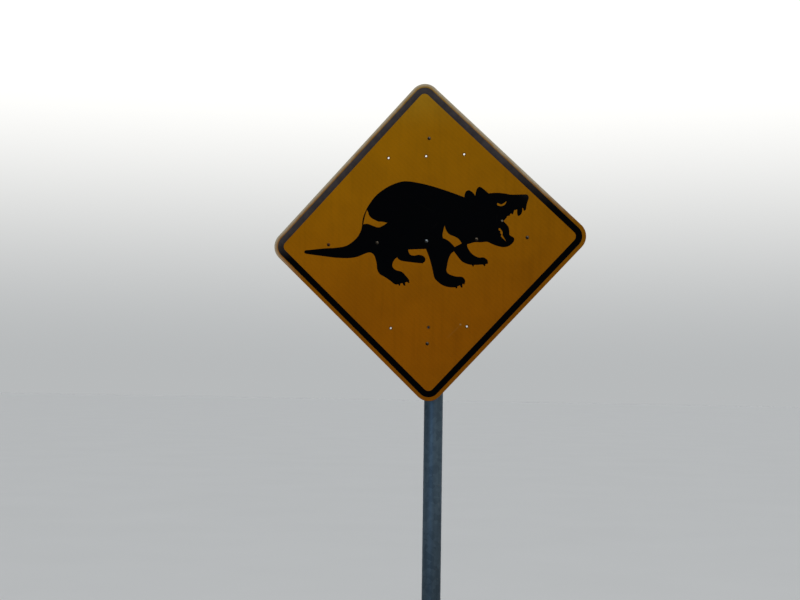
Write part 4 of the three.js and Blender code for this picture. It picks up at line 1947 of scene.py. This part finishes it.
@dataclass(frozen=True)
class PhotoCamera:
    """The photograph's viewpoint, solved from the corners of the sign's border."""

    place: Triple = (954.3 * MM, -4582.7 * MM, 1598.7 * MM)
    yaw: float = math.radians(13.14)
    pitch: float = math.radians(3.0)
    roll: float = math.radians(0.81)
    lens: float = 65.3
    sensor: float = 36.0
    reach: float = 400.0

    def make(self) -> None:
        """Adds the camera and makes it the scene's."""
        data = bpy.data.cameras.new("camera")
        data.lens, data.sensor_width, data.clip_end = self.lens, self.sensor, self.reach
        camera = new_object("camera", data)
        turn = Matrix.Rotation(self.yaw, 4, "Z") @ Matrix.Rotation(math.pi / 2 + self.pitch, 4, "X")
        camera.matrix_world = Matrix.Translation(self.place) @ turn @ Matrix.Rotation(self.roll, 4, "Z")
        bpy.context.scene.camera = camera


class LampKind(Enum):
    """Kinds of lamp, each with the name of the measure that softens its light."""

    AREA = "size"
    SUN = "angle"


@dataclass(frozen=True)
class Lamp:
    """A soft lamp, with its power and side, or its strength and angle where it is a sun."""

    name: str
    kind: LampKind
    place: Triple
    energy: float
    softness: float
    colour: Colour

    def make(self, aim: Vector) -> None:
        """Adds the lamp.

        Args:
            aim: The place that it points at.
        """
        data = bpy.data.lights.new(self.name, self.kind.name)
        data.energy, data.color = self.energy, self.colour
        setattr(data, self.kind.value, self.softness)
        way = (aim - Vector(self.place)).to_track_quat("-Z", "Y").to_matrix().to_4x4()
        new_object(self.name, data).matrix_world = Matrix.Translation(self.place) @ way


@dataclass
class Studio:
    """A plain pale floor and backdrop, and soft light from behind and in front that leaves the sides dim.

    Each fade follows a part of the direction that is looked in: rightwards, backwards, up or ahead.
    """

    floor_reach: float = 90.0
    floor_cells: int = 8
    aim_height: float = 1.6
    backdrop_low: Colour = (0.476, 0.491, 0.498)
    backdrop_high: Colour = (1.20, 1.19, 1.16)
    backdrop_rise: Fade = Fade(0.0, 0.27)
    left: Colour = (0.03, 0.04, 0.05)
    right: Colour = (0.13, 0.13, 0.13)
    rightwards: Fade = Fade(-0.5, 0.5)
    behind: Colour = (0.85, 0.86, 0.88)
    backwards: Fade = Fade(0.70, 0.97)
    behind_rise: Fade = Fade(0.0, 0.45)
    ahead: Colour = (0.040, 0.080, 0.130)
    opening: Colour = (0.120, 0.270, 0.490)
    ahead_turn: float = math.radians(-11)
    ahead_width: Fade = Fade(0.60, 1.0)
    opening_width: Fade = Fade(0.93, 0.99)
    overhead: Colour = (0.50, 0.53, 0.56)
    upwards: Fade = Fade(0.45, 0.95)
    least_level: float = 0.001
    lamps: tuple[Lamp, ...] = (
        Lamp("back_light", LampKind.SUN, (1.5, 3.0, 6.5), 1.0, math.radians(30), (1.0, 0.98, 0.94)),
        Lamp("front_light", LampKind.AREA, (0.1, -4.2, 5.0), 33.8, 2.6, (0.98, 0.97, 0.96)),
        Lamp("upper_right_light", LampKind.AREA, (2.6, -3.0, 3.6), 3.0, 0.6, (1.0, 0.97, 0.90)),
    )

    def floor(self) -> None:
        """Adds the floor."""
        shape = bmesh.new()
        cells = self.floor_cells
        bmesh.ops.create_grid(shape, x_segments=cells, y_segments=cells, size=self.floor_reach)
        floor = new_object("studio_floor", mesh_of(shape, "studio_floor"))
        floor.data.materials.append(PaleFloor().material())

    def light(self, graph: Graph, direction: Sequence[Socket]) -> Socket:
        """The light that falls on the sign from all round.

        Args:
            graph: The world's graph.
            direction: The parts of the direction that it comes from.

        Returns:
            The light's colour.
        """
        x, y, z = direction
        level = graph.math("SQRT", graph.math("SUBTRACT", 1.0, graph.product(z, z)))
        level = graph.largest(level, self.least_level)
        light = graph.mix(graph.smooth(x, self.rightwards), self.left, self.right)
        backwards = graph.smooth(graph.math("DIVIDE", y, level), self.backwards)
        light = graph.mix(graph.product(backwards, graph.smooth(z, self.behind_rise)), light, self.behind)
        facing = (math.sin(self.ahead_turn), -math.cos(self.ahead_turn), 0.0)
        towards = graph.math("DIVIDE", graph.dot(graph.combine(x, y), facing), level)
        light = graph.mix(graph.smooth(towards, self.ahead_width), light, self.ahead)
        light = graph.mix(graph.smooth(towards, self.opening_width), light, self.opening)
        return graph.mix(graph.smooth(z, self.upwards), light, self.overhead)

    def surroundings(self) -> None:
        """Sets the light that comes from all round, and the backdrop that is seen."""
        world = bpy.data.worlds.new("soft surroundings")
        world.use_nodes = True
        graph = Graph(world.node_tree)
        direction = graph.split(graph.add("ShaderNodeTexCoord").outputs["Generated"])
        rise = graph.smooth(direction[2], self.backdrop_rise)
        backdrop = graph.mix(rise, self.backdrop_low, self.backdrop_high)
        seen = graph.add("ShaderNodeLightPath").outputs["Is Camera Ray"]
        shown = graph.mix(seen, self.light(graph, direction), backdrop)
        graph.feed(world.node_tree.nodes["Background"].inputs["Color"], shown)
        bpy.context.scene.world = world

    def make(self) -> None:
        """Adds the floor, the surroundings and the lamps."""
        bpy.context.scene.view_settings.view_transform = "Standard"
        self.floor()
        self.surroundings()
        for lamp in self.lamps:
            lamp.make(Vector((0.0, 0.0, self.aim_height)))


def main() -> None:
    """Sets the camera and the studio, and builds each sub-assembly."""
    logging.basicConfig(level=logging.INFO, format="%(name)s: %(message)s")
    PhotoCamera().make()
    Studio().make()
    plane, placer, sweeper = SignPlane.measured(), Placer(), Sweeper()
    face = SignFace(plane)
    assemblies: list[SubAssembly] = [
        face,
        Rivets(plane, placer, face),
        Rails(plane, sweeper),
        Straps(plane, sweeper),
        Bolts(plane, placer, sweeper),
        PostAndCap(),
        DisplayStand(placer),
    ]
    for assembly in assemblies:
        for piece in assembly.build():
            log.info("%s: %s has %d faces", type(assembly).__name__, piece.name, len(piece.data.polygons))


if __name__ == "__main__":
    main()
